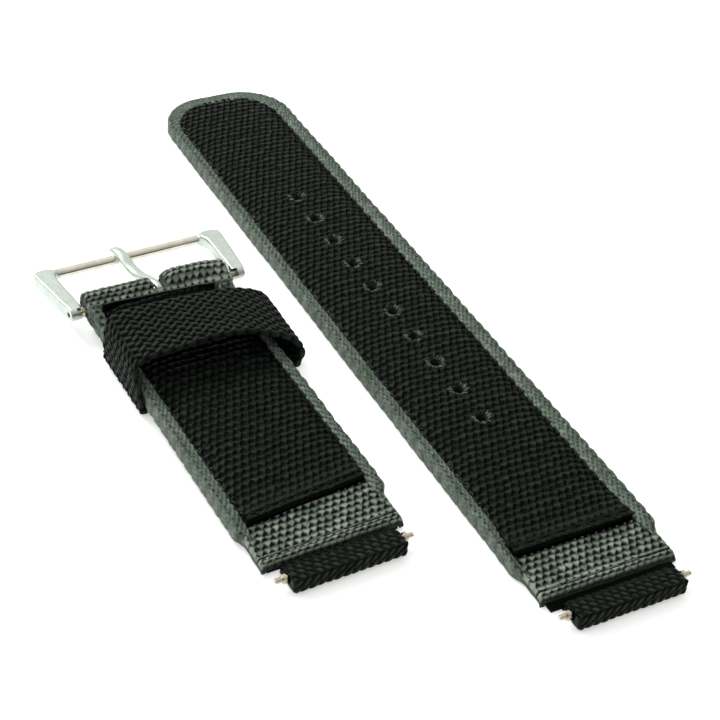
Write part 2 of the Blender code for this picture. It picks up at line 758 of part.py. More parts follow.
def add_keeper(parent):
    """A loose loop of black webbing that slides along the buckle piece."""
    far = KEEPER_START + KEEPER_LENGTH
    bm = band(keeper_outline(KEEPER_WALL), keeper_outline(0), KEEPER_START, far, 1, True)
    thing = add_object("keeper_loop", bm, black_webbing("keeper_loop"), parent)
    shade_round(thing)


def set_on_origin(root):
    """Moves the whole set so that its box stands centred on the origin."""
    bpy.context.view_layer.update()
    graph = bpy.context.evaluated_depsgraph_get()
    low, high = Vector((math.inf,) * 3), Vector((-math.inf,) * 3)
    for thing in bpy.context.scene.objects:
        if thing.type != "MESH" or thing.hide_render:
            continue
        shown = thing.evaluated_get(graph)
        for vertex in shown.data.vertices:
            point = shown.matrix_world @ vertex.co
            low = Vector(map(min, low, point))
            high = Vector(map(max, high, point))
    root.location = (-(low.x + high.x) / 2, -(low.y + high.y) / 2, -low.z)


def build():
    clear_scene()
    root = add_empty("strap_set", None)
    add_long_piece(add_empty("long_piece", root))
    # The buckle piece rests on its loop and on the keeper under it.
    drop = KEEPER_UNDER + KEEPER_WALL
    pitch = math.asin(drop / (KEEPER_START + LOOP_NOSE))
    place = (-SHORT_ASIDE, SHORT_AHEAD, LOOP_NOSE * math.sin(pitch))
    short = add_empty("short_piece", root, place, Euler((pitch, 0, SHORT_TURN)))
    add_short_piece(short)
    add_buckle(short)
    add_keeper(short)
    set_on_origin(root)


build()
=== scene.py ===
import json
import math

import bpy
import numpy as np
from mathutils import Matrix, Vector
from mathutils.geometry import tessellate_polygon


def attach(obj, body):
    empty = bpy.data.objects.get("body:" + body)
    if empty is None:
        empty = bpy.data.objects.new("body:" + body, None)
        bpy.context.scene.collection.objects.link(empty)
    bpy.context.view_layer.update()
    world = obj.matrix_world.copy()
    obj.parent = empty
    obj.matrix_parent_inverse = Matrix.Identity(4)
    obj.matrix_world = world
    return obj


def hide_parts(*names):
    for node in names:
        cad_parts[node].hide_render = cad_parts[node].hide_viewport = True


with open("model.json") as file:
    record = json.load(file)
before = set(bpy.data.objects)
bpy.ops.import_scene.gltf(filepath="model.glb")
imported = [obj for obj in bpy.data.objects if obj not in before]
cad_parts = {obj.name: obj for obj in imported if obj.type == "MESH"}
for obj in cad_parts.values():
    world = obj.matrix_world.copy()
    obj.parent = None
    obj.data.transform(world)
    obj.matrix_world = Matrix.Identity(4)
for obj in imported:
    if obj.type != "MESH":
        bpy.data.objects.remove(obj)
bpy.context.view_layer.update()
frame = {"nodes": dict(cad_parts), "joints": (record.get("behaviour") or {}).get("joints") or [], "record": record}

# A watch strap in two pieces of woven nylon, with a sliding keeper and a pin buckle.
# Sizes are millimetres in each piece's own frame: x across, y along it from its lug bar, z up from the floor.
mm = 0.001
weaveStep = 0.12  # between the points that draw the weave
borderStep = 0.15  # between the rows of the grey border


# Colours and shader nodes

def fromHex(code):
    # an sRGB colour code as a linear colour
    parts = [int(code[i:i + 2], 16) / 255 for i in (1, 3, 5)]
    linear = [p / 12.92 if p <= 0.04045 else ((p + 0.055) / 1.055) ** 2.4 for p in parts]
    return (*linear, 1.0)


def addNode(tree, kind, inputs=None, stops=None, **settings):
    # sockets given as inputs are linked, other values are set; stops are for a colour ramp
    node = tree.nodes.new(kind)
    for key, value in settings.items():
        setattr(node, key, value)
    for key, value in (inputs or {}).items():
        if isinstance(value, bpy.types.NodeSocket):
            tree.links.new(value, node.inputs[key])
        else:
            node.inputs[key].default_value = value
    if stops:
        elements = node.color_ramp.elements
        while len(elements) < len(stops):
            elements.new(0.5)
        for element, (place, code) in zip(elements, stops):
            element.position = place
            element.color = fromHex(code)
    return node


def noise(tree, place, scale, detail, roughness=0.5):
    inputs = {"Vector": place, "Scale": scale, "Detail": detail, "Roughness": roughness}
    return addNode(tree, "ShaderNodeTexNoise", inputs).outputs["Fac"]


def ramp(tree, value, *stops):
    return addNode(tree, "ShaderNodeValToRGB", {"Fac": value}, stops).outputs["Color"]


def addMath(tree, operation, *values):
    return addNode(tree, "ShaderNodeMath", dict(enumerate(values)), operation=operation).outputs[0]


def addBump(tree, height, strength, depth):
    inputs = {"Height": height, "Strength": strength, "Distance": depth * mm}
    return addNode(tree, "ShaderNodeBump", inputs).outputs[0]


def spread(tree, value, low, high, start=0.3, end=0.7):
    # low where the value is at start, high where it is at end
    inputs = {"Value": value, "From Min": start, "From Max": end, "To Min": low, "To Max": high}
    return addNode(tree, "ShaderNodeMapRange", inputs).outputs[0]


def stretched(tree, place, factors):
    return addNode(tree, "ShaderNodeVectorMath", {0: place, 1: factors}, operation="MULTIPLY").outputs[0]


def startMaterial(name):
    made = bpy.data.materials.new(name)
    made.use_nodes = True
    tree = made.node_tree
    place = addNode(tree, "ShaderNodeTexCoord").outputs["Object"]
    return made, tree, tree.nodes["Principled BSDF"], stretched(tree, place, (1 / mm, 1 / mm, 1 / mm))


# Random fields and smooth steps

def scatter(i, j, seed):
    # a fixed random share for each pair of whole numbers
    value = np.sin(i * 127.1 + j * 311.7 + seed * 74.7) * 43758.5453
    return value - np.floor(value)


def draw(i, j, seed):
    return float(scatter(float(i), float(j), seed))


def drift(x, y, size, seed):
    # a smooth random field from -1 to 1 that changes over about size millimetres
    u, v = x / size, y / size
    i, j = np.floor(u), np.floor(v)
    s, t = u - i, v - j
    s, t = s * s * (3 - 2 * s), t * t * (3 - 2 * t)
    low = scatter(i, j, seed) * (1 - s) + scatter(i + 1, j, seed) * s
    high = scatter(i, j + 1, seed) * (1 - s) + scatter(i + 1, j + 1, seed) * s
    return 2 * (low * (1 - t) + high * t) - 1


def ease(x, start, end):
    # 0 before start, 1 after end, smooth between them
    t = np.clip((x - start) / (end - start), 0, 1)
    return t * t * (3 - 2 * t)


def hump(x, width, power=2):
    # 1 at x = 0, fading to nothing a few widths away
    return np.exp(-(x / width) ** power)


# Places of the two strap pieces and the buckle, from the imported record

sizes = {
    "barHeight": 1.6, "barDistance": 62.7, "buckleBarHeight": 1.85,
    "buckleShift": 0.3, "buckleDroop": math.radians(6.0),
}
mounts = {mount["name"]: mount for mount in frame["record"]["mounts"]}
joints = {joint["name"]: joint for joint in frame["joints"]}


def pieceMatrix(lugs, along):
    # the place of a strap piece whose bar lies between two lug mounts
    left, right = (mounts[lugs + side] for side in ("_left", "_right"))
    origin = (Vector(left["pos_m"]) + Vector(right["pos_m"])) / 2
    across = Vector(right["axis"])
    up = across.cross(along).normalized()
    turn = Matrix((across, up.cross(across).normalized(), up)).transposed().to_4x4()
    return Matrix.Translation(origin - up * sizes["barHeight"] * mm) @ turn


longPlace = pieceMatrix("long_lug", Vector((0, 1, 0)))
shortPlace = pieceMatrix("short_lug", Vector(joints["keeper_slide"]["axis"]))
buckleOrigin = Vector((sizes["buckleShift"], sizes["barDistance"], sizes["buckleBarHeight"])) * mm
bucklePlace = shortPlace @ Matrix.Translation(buckleOrigin) @ Matrix.Rotation(-sizes["buckleDroop"], 4, "X")
print("frame loaded, places found")


# Materials

def clothMaterial(name, look):
    # Woven nylon: thick yarns of fine filaments, with a soft sheen. The lift attribute paints shade into the pits
    # and highlight onto the crowns.
    made, tree, shader, place = startMaterial(name)
    lift = addNode(tree, "ShaderNodeAttribute", attribute_name="lift").outputs["Fac"]
    melt = addNode(tree, "ShaderNodeAttribute", attribute_name="melt").outputs["Fac"]
    # Real filaments are about 0.03 mm thick, too fine to show: the streaks are drawn at about 0.12 mm.
    streaks = noise(tree, stretched(tree, place, look["filaments"]), 1.0, 3.0, 0.6)
    mixed = addMath(tree, "MULTIPLY_ADD", streaks, 0.7, lift)
    height = addMath(tree, "SUBTRACT", mixed, 0.37)
    # colour from the painted shade of the pits to the painted highlight of the crowns
    yarn = ramp(tree, height, (look["pitReach"], look["pit"]), (0.58, look["middle"]), (0.95, look["crown"]))
    patches = noise(tree, place, look["patchScale"], 2.0)
    tint = ramp(tree, patches, (0.30, look["patchDark"]), (0.70, look["patchLight"]))
    tinted = addNode(tree, "ShaderNodeMix", {0: 1.0, 6: yarn, 7: tint}, data_type="RGBA",
                     blend_type="MULTIPLY").outputs[2]
    # where the cloth is melted round a hole it is paler, speckled and smoother
    fleck = ramp(tree, noise(tree, place, 3.2, 2.0), (0.56, look["meltDark"]), (0.68, look["meltLight"]))
    colour = addNode(tree, "ShaderNodeMix", {0: melt, 6: tinted, 7: fleck}, data_type="RGBA").outputs[2]
    gloss = spread(tree, streaks, look["roughLow"], look["roughHigh"])
    rough = addNode(tree, "ShaderNodeMix", {0: melt, 2: gloss, 3: 0.3}).outputs[0]
    tree.links.new(colour, shader.inputs["Base Color"])
    tree.links.new(rough, shader.inputs["Roughness"])
    tree.links.new(addBump(tree, streaks, look["bump"], 0.06), shader.inputs["Normal"])
    shader.inputs["IOR"].default_value = 1.53  # nylon
    shader.inputs["Specular IOR Level"].default_value = look["gloss"]
    shader.inputs["Specular Tint"].default_value = fromHex(look["sheen"])
    return made


def steelMaterial(name, look):
    # Stainless steel: satin or polished, with faint lines left by the polishing wheel.
    made, tree, shader, place = startMaterial(name)
    lines = noise(tree, stretched(tree, place, look["lines"]), 1.0, 4.0)
    colour = ramp(tree, noise(tree, place, 0.6, 2.0), (0.3, look["shade"]), (0.7, look["light"]))
    tree.links.new(colour, shader.inputs["Base Color"])
    tree.links.new(spread(tree, lines, look["roughLow"], look["roughHigh"]), shader.inputs["Roughness"])
    tree.links.new(addBump(tree, lines, look["bump"], 0.01), shader.inputs["Normal"])
    shader.inputs["Metallic"].default_value = 1.0
    return made


# Of the cloth: colours from pits to crowns, painted shade in the pits and painted highlight on the crowns, slow
# patches, melted spots, roughness and filament streaks
blackLook = {
    "pit": "#010101", "pitReach": 0.22, "middle": "#0b0e0b", "crown": "#232923", "filaments": (8.0, 1.4, 8.0),
    "patchScale": 0.35, "patchDark": "#c4c9c4", "patchLight": "#ffffff", "meltDark": "#0b0a08",
    "meltLight": "#3c3d38", "roughLow": 0.32, "roughHigh": 0.55, "bump": 0.7, "gloss": 0.08,
    "sheen": "#d8f2da",
}
greyLook = {
    "pit": "#060806", "pitReach": 0.22, "middle": "#474f47", "crown": "#a0a69c", "filaments": (8.0, 1.4, 8.0),
    "patchScale": 0.3, "patchDark": "#d0d9d0", "patchLight": "#ffffff", "meltDark": "#475048",
    "meltLight": "#8d958d", "roughLow": 0.42, "roughHigh": 0.7, "bump": 0.8, "gloss": 0.18,
    "sheen": "#f0fff0",
}
edgeLook = {
    **greyLook, "pit": "#2b332c", "pitReach": 0.05, "middle": "#5d675e", "crown": "#8e978e", "bump": 1.0,
    "filaments": (5.0, 5.0, 5.0),
}
ribbedLook = {**blackLook, "middle": "#0c100c", "crown": "#2e342d", "filaments": (1.4, 8.0, 8.0)}
liningLook = {**blackLook, "crown": "#161817", "roughLow": 0.6, "roughHigh": 0.8}
threadLook = {
    **greyLook, "pit": "#1b211d", "middle": "#5a635b", "crown": "#8d958c", "roughLow": 0.3, "roughHigh": 0.45,
}
cutLook = {
    **greyLook, "pit": "#3c433d", "middle": "#727a72", "crown": "#a3aaa1", "roughLow": 0.4, "roughHigh": 0.6,
}
satinLook = {
    "shade": "#c0c8c0", "light": "#ccd4cb", "roughLow": 0.24, "roughHigh": 0.34, "bump": 0.10,
    "lines": (3.0, 14.0, 14.0),
}
polishedLook = {
    "shade": "#b9b09a", "light": "#cfc7b2", "roughLow": 0.12, "roughHigh": 0.20, "bump": 0.06,
    "lines": (14.0, 3.0, 3.0),
}
ballisticNylon = clothMaterial("ballistic nylon, black", blackLook)
greyNylon = clothMaterial("nylon webbing, grey green", greyLook)
edgeNylon = clothMaterial("brushed nylon edging, grey green", edgeLook)
ribbedNylon = clothMaterial("ribbed nylon webbing, black", ribbedLook)
liningCloth = clothMaterial("fine nylon lining, black", liningLook)
sewingThread = clothMaterial("bonded nylon thread", threadLook)
cutNylon = clothMaterial("heat cut nylon edge", cutLook)
satinSteel = steelMaterial("satin stainless steel", satinLook)
polishedSteel = steelMaterial("polished stainless steel", polishedLook)
rodSteel = steelMaterial("polished steel rod", {**polishedLook, "shade": "#d6d0c2", "light": "#e4e0d4"})
print("materials made")


# Building pieces

def addObject(name, data):
    made = bpy.data.objects.new(name, data)
    bpy.context.scene.collection.objects.link(made)
    return made


def addPiece(name, points, faces, place, finish, body, slotName, replaced=(), lift=None, melt=None):
    # lift and melt are one number for all points or one for each; points left over at the end get 0. Lift paints
    # the cloth from the shade of its pits, at 0, to the highlight of its crowns, at 1.
    mesh = bpy.data.meshes.new(name)
    points = np.asarray(points, float).reshape(-1, 3) * mm
    mesh.from_pydata(points.tolist(), [], faces)
    mesh.calc_loop_triangles()
    triangles = np.zeros(len(mesh.loop_triangles) * 3, np.int32)
    mesh.loop_triangles.foreach_get("vertices", triangles)
    a, b, c = points[triangles.reshape(-1, 3)].transpose(1, 0, 2)
    if (a * np.cross(b, c)).sum() < 0:
        mesh.flip_normals()
    for layerName, values in (("lift", lift), ("melt", melt)):
        if values is not None:
            given = np.full(len(points), values) if np.size(values) == 1 else np.ravel(values)
            filled = np.zeros(len(points), np.float32)
            filled[:len(given)] = given
            mesh.attributes.new(layerName, "FLOAT", "POINT").data.foreach_set("value", filled)
    mesh.shade_smooth()
    mesh.materials.append(finish)
    piece = addObject(name, mesh)
    piece.matrix_world = place
    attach(piece, body)
    if replaced:
        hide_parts(*replaced)
    return piece


def stations(low, high, step=weaveStep):
    return np.linspace(low, high, int((high - low) / step) + 1)


def distances(line):
    # how far along a line each of its points lies
    return np.concatenate([[0], np.cumsum(np.linalg.norm(np.diff(line, axis=0), axis=1))])


def gridQuads(rows, columns, closedRows=False, closedColumns=False):
    index = np.arange(rows * columns).reshape(rows, columns)
    if closedRows:
        index = np.vstack([index, index[:1]])
    if closedColumns:
        index = np.hstack([index, index[:, :1]])
    corners = [index[:-1, :-1], index[:-1, 1:], index[1:, 1:], index[1:, :-1]]
    return np.stack(corners, -1).reshape(-1, 4)


def drawn(xs, ring):
    # the same section of (y, z) at every place across the strap, and how far round it each point lies
    grid = np.zeros((len(xs), len(ring), 3))
    grid[..., 0] = xs[:, None]
    grid[..., 1:] = ring
    return grid, np.repeat(distances(ring)[None, :], len(xs), 0)


def sweep(grid, closedRows=False):
    # rows of equal closed rings, skinned; open sweeps get flat caps
    rows, columns = grid.shape[:2]
    faces = gridQuads(rows, columns, closedRows, True).tolist()
    if not closedRows:
        faces.append(list(range(columns)))
        faces.append(list(range((rows - 1) * columns, rows * columns))[::-1])
    return grid.reshape(-1, 3), faces


def pushed(grid, depth):
    # moves every point of a sweep out of its ring by depth (negative goes in)
    normal = np.cross(np.roll(grid, -1, 1) - np.roll(grid, 1, 1), np.gradient(grid, axis=0))
    normal /= np.linalg.norm(normal, axis=2, keepdims=True) + 1e-12
    if (normal * (grid - grid.mean(1, keepdims=True))).sum() < 0:
        normal = -normal
    return grid + normal * depth[..., None]


def chainLoops(edges):
    # joins directed edges into closed loops of point numbers
    after = dict(edges)
    loops = []
    while after:
        start = next(iter(after))
        loop = [start]
        here = after.pop(start)
        while here != start:
            loop.append(here)
            here = after.pop(here)
        loops.append(loop)
    return loops


def closedSheet(top, bottom, cut=None):
    # A sheet with a wall down to the height bottom round its rim and round every hole, and a flat underside.
    # Also gives the numbers of the top points that were kept.
    count = top.shape[0] * top.shape[1]
    quads = gridQuads(*top.shape[:2])
    if cut is not None:
        quads = quads[~cut.ravel()]
    edges = np.concatenate([quads[:, [k, (k + 1) % 4]] for k in range(4)])
    codes, mirrored = edges @ (count, 1), edges @ (1, count)
    rim = edges[~np.isin(codes, mirrored)]
    rimPoints = np.unique(rim)
    lower = top.reshape(-1, 3)[rimPoints].copy()
    lower[:, 2] = bottom
    below = {int(p): count + k for k, p in enumerate(rimPoints)}
    points = np.concatenate([top.reshape(-1, 3), lower])
    faces = quads.tolist() + [[int(b), int(a), below[int(a)], below[int(b)]] for a, b in rim]
    loops = chainLoops([(below[int(a)], below[int(b)]) for a, b in rim])
    loops.sort(key=lambda loop: -np.ptp(points[loop, 1]))
    flat = sum(loops, [])
    for triple in tessellate_polygon([[Vector(points[p]) for p in loop] for loop in loops]):
        faces.append([flat[k] for k in triple])
    kept = np.unique(quads)
    used = np.concatenate([kept, np.arange(count, len(points))])
    renumber = np.full(len(points), -1)
    renumber[used] = np.arange(len(used))
    return points[used], [[int(renumber[p]) for p in face] for face in faces], kept


def plate(outline, holeRings, low, high):
    # a flat plate with round holes
    loops = [outline] + holeRings
    flat = [point for loop in loops for point in loop]
    count = len(flat)
    points = [(x, y, high) for x, y in flat] + [(x, y, low) for x, y in flat]
    faces = []
    for triple in tessellate_polygon([[Vector((x, y, 0)) for x, y in loop] for loop in loops]):
        a, b, c = (Vector(flat[k]) for k in triple)
        ordered = triple if (b - a).cross(c - a) > 0 else triple[::-1]
        faces += [list(ordered), [k + count for k in ordered[::-1]]]
    start = 0
    for loop in loops:
        after = loop[1:] + loop[:1]
        turn = sum(a[0] * b[1] - b[0] * a[1] for a, b in zip(loop, after))
        inward = (turn < 0) == (loop is outline)
        for i in range(len(loop)):
            a, b = start + i, start + (i + 1) % len(loop)
            wall = [b, a, a + count, b + count]
            faces.append(wall[::-1] if inward else wall)
        start += len(loop)
    return points, faces


def arcPoints(centre, radius, start, end, steps):
    angles = np.radians(np.linspace(start, end, steps + 1))
    return np.stack([centre[0] + radius * np.cos(angles), centre[1] + radius * np.sin(angles)], 1)


def bend(near, corner, far, t):
    # a place on the curve that leaves near towards corner and comes in to far from it
    return (1 - t) ** 2 * near + 2 * t * (1 - t) * corner + t * t * far


def evenly(points, count, closed=False):
    # the same line, through count points at equal distances
    points = np.asarray(points, float)
    if closed:
        points = np.vstack([points, points[:1]])
    reach = distances(points)
    want = np.linspace(0, reach[-1], count + 1)[:-1] if closed else np.linspace(0, reach[-1], count)
    return np.stack([np.interp(want, reach, points[:, k]) for k in range(points.shape[1])], 1)


def roundedRing(corners, count):
    # corners are (a, b, radius); the ring starts at the first corner
    line = []
    for k, (*here, radius) in enumerate(corners):
        here = np.array(here, float)
        before = np.array(corners[k - 1][:2], float) - here
        after = np.array(corners[(k + 1) % len(corners)][:2], float) - here
        before, after = before / np.linalg.norm(before), after / np.linalg.norm(after)
        half = math.acos(max(-1.0, min(1.0, float(before @ after)))) / 2
        reach = radius / math.tan(half)
        line += [bend(here + before * reach, here, here + after * reach, t) for t in np.linspace(0, 1, 9)]
    return evenly(line, count, True)


def roundedEnd(left, right, end, radius, step):
    # left side, over the free end, to the right side: arcs and the short straight between them
    turns = max(6, int(radius * math.pi / 2 / step))
    first = arcPoints((left + radius, end - radius), radius, 180, 90, turns)
    second = arcPoints((right - radius, end - radius), radius, 90, 0, turns)
    flatCount = max(2, int((right - left - 2 * radius) / step))
    flat = np.linspace(first[-1], second[0], flatCount + 1)[1:-1]
    return np.concatenate([first, flat, second])


# The weave

weaveLook = {
    "yarnSway": 0.12, "yarnSwaySize": 4.0, "rowSway": 0.08, "rowSwaySize": 5.0, "wobbleSize": (0.8, 0.9),
    "shift": 0.16, "domePower": 2.2, "pit": 0.04, "hair": 0.05, "hairSize": 0.3,
}


def webbing(across, along, cloth, seed):
    # A warp-faced plain weave. Yarns lie side by side and each goes over and under the cross threads in turn,
    # so that its floats stand up in a brick pattern. A float is broad behind and narrows to a raised tip,
    # with a small pit at each side of the tip. Gives 0 on the crowns and -1 in the pits.
    look, wobble = weaveLook, cloth["wobble"]
    u = across / cloth["yarn"] + look["yarnSway"] * drift(across, along, look["yarnSwaySize"], seed)
    v = along / cloth["cross"] + look["rowSway"] * drift(across, along, look["rowSwaySize"], seed + 1)
    u = u + wobble * drift(across, along, look["wobbleSize"][0], seed + 8)
    v = v + wobble * drift(across, along, look["wobbleSize"][1], seed + 9)
    best = np.zeros(u.shape)
    for k in (-1, 0, 1, 2):
        yarn = np.floor(u) + k
        row = 2 * np.round((v - yarn) / 2) + yarn
        near = v - row
        rise = (0.5 + 0.5 * np.cos(np.pi * (near + cloth["early"] * (1 - near ** 2)))) ** cloth["blunt"]
        side = u - yarn + cloth["skew"] * near + look["shift"] * (scatter(yarn, row, seed + 2) - 0.5)
        broad = ease(near, *cloth["tip"]) if cloth["tip"] else rise
        half = cloth["slim"] + (cloth["full"] - cloth["slim"]) * broad
        dome = np.sqrt(np.clip(1 - np.abs(side / half) ** look["domePower"], 0, 1))
        lively = 1 - cloth["unevenness"] * scatter(yarn, row, seed + 3) - cloth["weakRows"] * (row % 2)
        top = rise * lively * (cloth["rim"] + (1 - cloth["rim"]) * dome)
        best = np.maximum(best, np.where(np.abs(side) < half, top, 0))
    hair = look["hair"] * drift(across * 2.2, along * 0.8, look["hairSize"], seed + 5)
    return ease(best, look["pit"], cloth["fill"]) * (cloth["flat"] + (1 - cloth["flat"]) * best + hair) - 1


# Yarn and cross are the yarns' and the cross threads' spacing, slim and full a float's half width at its tip
# and where it is broad, in yarns, and tip is where it narrows. Blunt, early, skew and rim shape it, fill and
# flat set how wide the pits are and how level the top is, the rest make it less even. Depth is the relief.
plainWeave = {
    "tip": None, "rim": 0.3, "blunt": 0.8, "early": 0.0, "skew": 0.0, "flat": 0.3, "weakRows": 0.0,
    "wobble": 0.0,
}
coverCloth = {
    **plainWeave, "yarn": 0.63, "cross": 1.28, "slim": 0.26, "full": 1.0, "tip": (-0.75, -0.05),
    "rim": 0.5, "early": 0.45, "skew": -0.4, "fill": 0.34, "unevenness": 0.4, "weakRows": 0.08,
    "wobble": 0.16, "depth": 0.5,
}
baseCloth = {
    **coverCloth, "yarn": 0.60, "cross": 1.13, "tip": (-0.75, -0.1), "rim": 0.55, "fill": 0.32, "flat": 0.35,
    "unevenness": 0.35, "weakRows": 0.0, "wobble": 0.14,
}
borderCloth = {
    **plainWeave, "yarn": 0.42, "cross": 0.66, "slim": 0.35, "full": 0.64, "blunt": 0.6, "skew": 0.15,
    "fill": 0.35, "flat": 0.6, "unevenness": 0.6, "depth": 0.22,
}
keeperCloth = {
    **plainWeave, "yarn": 0.76, "cross": 1.02, "slim": 0.38, "full": 0.58, "blunt": 0.6, "fill": 0.48,
    "unevenness": 0.25, "depth": 0.46,
}
loopCloth = {
    **plainWeave, "yarn": 0.65, "cross": 0.98, "slim": 0.28, "full": 0.66, "early": 0.2, "fill": 0.46,
    "unevenness": 0.4, "wobble": 0.12, "depth": 0.36,
}


# Sizes of the two pieces

heights = {
    "backing": (0.0, 0.6), "core": (0.62, 1.92), "webLow": 0.66, "webTop": 1.95, "crease": 2.05,
    "border": 2.72, "cover": 3.1,
}
longPiece = {
    "end": 140.4, "half": 12.0, "lugHalf": 11.2, "endRadius": 9.0, "shoulder": (10.7, 11.5), "lip": 3.7,
    "groove": 0.8, "coverLeft": -9.95, "coverRight": 9.25, "coverStart": 12.0, "coverEnd": 137.6,
    "coverRadius": 7.4,
    "leftBulge": -0.8, "rightBulge": 0.1, "bulge": (-2, -1, 13, 19), "lean": 0.0, "coreStart": 13.6,
    "seam": 5.0, "seamTilt": 0.0, "frontSeam": (-9.6, 8.8), "backingStart": 2.45,
}
shortPiece = {
    "half": 12.0, "lugHalf": 11.2, "shoulder": (9.9, 10.8), "lip": 3.0, "groove": 0.85,
    "coverLeft": -9.7, "coverRight": 8.7, "coverStart": 11.4, "coverEnd": 60.4, "coverRise": 0.55,
    "leftBulge": 0.0, "rightBulge": 1.5, "bulge": (2, 20, 46, 54), "lean": 0.075, "coreStart": 13.6,
    "seam": 4.6, "seamTilt": 0.02, "frontSeam": (-9.2, 8.6), "backingStart": 3.05, "backingEnd": 58.6,
    "borderEnd": 61.9,
}
holeLook = {
    "x": -0.35, "first": 38.4, "pitch": 7.08, "count": 10, "radius": 0.8, "through": 1.0,
    # the dished and melted rim round each one
    "rim": 1.5, "rimHeight": 0.12, "rimWidth": 0.16, "dish": 0.22, "sink": 0.12, "calm": 0.92, "ragged": 0.18,
    "reach": 3.0, "snap": 0.8,
}
holes = [(holeLook["x"], holeLook["first"] + k * holeLook["pitch"]) for k in range(holeLook["count"])]


def coverSides(y, piece):
    # the cover isn't cut quite straight: how far its left and right edges reach at a place along the strap
    start, full, last, end = piece["bulge"]
    wide = (0.45 + 0.55 * ease(y, start, full)) * (1 - ease(y, last, end))
    return piece["coverLeft"] + piece["leftBulge"] * wide, piece["coverRight"] + piece["rightBulge"] * wide


def leaning(x, y, piece):
    # the folded end at the lugs doesn't lie quite square across the strap
    return piece["lean"] * x * (1 - ease(y, piece["coverStart"] + 2, piece["coverStart"] + 22))


# Seams and loose filaments

stitchLook = {"sides": 6, "steps": 7, "arch": 1.3, "sunk": 1.2, "thin": 0.45}
coverSeam = {"stitch": 1.65, "gap": 0.9, "height": 2.2, "radius": 0.12, "aside": 0.05, "shade": 0.2}
frontSeam = {"stitch": 1.75, "gap": 0.85, "height": 2.86, "radius": 0.15, "shade": 0.7}
lugSeam = {"stitch": 2.4, "gap": 0.8, "height": 1.86, "radius": 0.13, "shade": 0.7, "reach": (-9.6, 9.6)}
# length is the least and what chance adds, height that of the near and the far end
hairLook = {"radius": 0.028, "aside": 0.15, "length": (0.25, 0.45), "height": (2.62, 2.78)}


def addStitches(name, runs, place, replaced, radius, finish=sewingThread, shade=0.7):
    # runs are (start, end) points; every stitch is a small arched cord, thickest in its middle
    sides, steps, thin = stitchLook["sides"], stitchLook["steps"], stitchLook["thin"]
    points, faces = [], []
    for start, end in runs:
        start, end = np.array(start, float), np.array(end, float)
        length = np.linalg.norm(end - start)
        along = (end - start) / length
        side = np.cross(along, (0, 0, 1))
        side /= np.linalg.norm(side)
        up = np.cross(side, along)
        base = len(points)
        for k in range(steps):
            arch = math.sin(math.pi * k / (steps - 1))
            lifted = radius * (stitchLook["arch"] * arch ** 0.5 - stitchLook["sunk"])
            centre = start + along * length * k / (steps - 1) + up * lifted
            thick = radius * (thin + (1 - thin) * arch ** 0.6)
            for angle in np.arange(sides) * 2 * math.pi / sides:
                points.append(centre + thick * (math.cos(angle) * side + math.sin(angle) * up))
        faces += (gridQuads(steps, sides, False, True) + base).tolist()
        faces.append([base + s for s in range(sides)][::-1])
        faces.append([base + (steps - 1) * sides + s for s in range(sides)])
    return addPiece(name, points, faces, place, finish, "strap", "thread", replaced, shade)


def runsAlong(line, seam):
    # splits a line of (x, y) into a seam's stitches
    line = np.asarray(line, float)
    reach = distances(line)
    runs = []
    for start in np.arange(int(reach[-1] / (seam["stitch"] + seam["gap"]))) * (seam["stitch"] + seam["gap"]):
        ends = (start, start + seam["stitch"])
        runs.append([(*(np.interp(at, reach, line[:, k]) for k in range(2)), seam["height"]) for at in ends])
    return runs


def addSeam(name, lines, place, replaced, seam, finish=sewingThread):
    runs = [run for line in lines for run in runsAlong(line, seam)]
    return addStitches(name, runs, place, replaced, seam["radius"], finish, seam["shade"])


def addCrossSeams(name, piece, place):
    # the seam behind the cover's folded end, and the one across the webbing at the lugs
    y = piece["coverStart"] + piece["groove"]
    front = [(x, y + float(leaning(x, y, piece))) for x in piece["frontSeam"]]
    addSeam(name + "_cover_front_seam", [front], place, [], frontSeam, ballisticNylon)
    lug = [(x, piece["seam"] + piece["seamTilt"] * x) for x in lugSeam["reach"]]
    addSeam(name + "_lug_seam", [lug], place, [name + "_lug_thread"], lugSeam)


def addLooseHairs(name, piece, place, start, end, count, seed):
    # short filaments that stand out of the seam between cover and border, in a few thicker places
    hairs = []
    for k in range(count):
        a, b, c, d = (draw(k, part, seed) for part in range(4))
        y = start + (end - start) * a
        if drift(y, 0.0, 5.0, seed + 1) < 2.2 * b - 1.2:
            continue
        left, right = coverSides(y, piece)
        x = left - hairLook["aside"] if k % 2 == 0 else right + hairLook["aside"]
        x += 0.35 * (b - 0.5)
        turn, length = 2 * math.pi * c, hairLook["length"][0] + hairLook["length"][1] * d
        low, high = hairLook["height"]
        far = (x + length * math.cos(turn), y + length * math.sin(turn), high + 0.2 * b)
        hairs.append(((x, y, low + 0.1 * c), far))
    return addStitches(name, hairs, place, [], hairLook["radius"], cutNylon)


# Black cover layer

coverLook = {
    # Rounding, lip and calming say where each sets in and is complete, from the layer's start, and tip, rising
    # and darkening from its end. The edge's drop and width come with what is added where the layer is rounded.
    # Behind its folded end the layer is flat with crisp edges, further on it rounds off towards them.
    "rounding": (1.5, 9.0), "edgeDrop": (0.35, 0.5), "edgeWidth": (0.5, 1.1), "edgePower": 1.4,
    "crown": 0.12, "wave": 0.05, "waveSize": 9.0, "lip": (0.1, 0.5), "lipDrop": 0.3, "calming": (1.2, 4.0),
    "calm": 0.6, "threadDip": 0.42, "threadWidth": 0.15, "threadShade": 0.6, "wallShade": 0.1,
    # Round the free end the edge drops less; in front of the fold the layer rises and is painted darker, as shadow
    # between the keeper and the fold.
    "tip": (-6.0, -1.0), "tipEven": 0.65, "rising": (-2.2, -0.5), "foldShadowing": (-5.0, -3.0), "dark": 0.75,
}


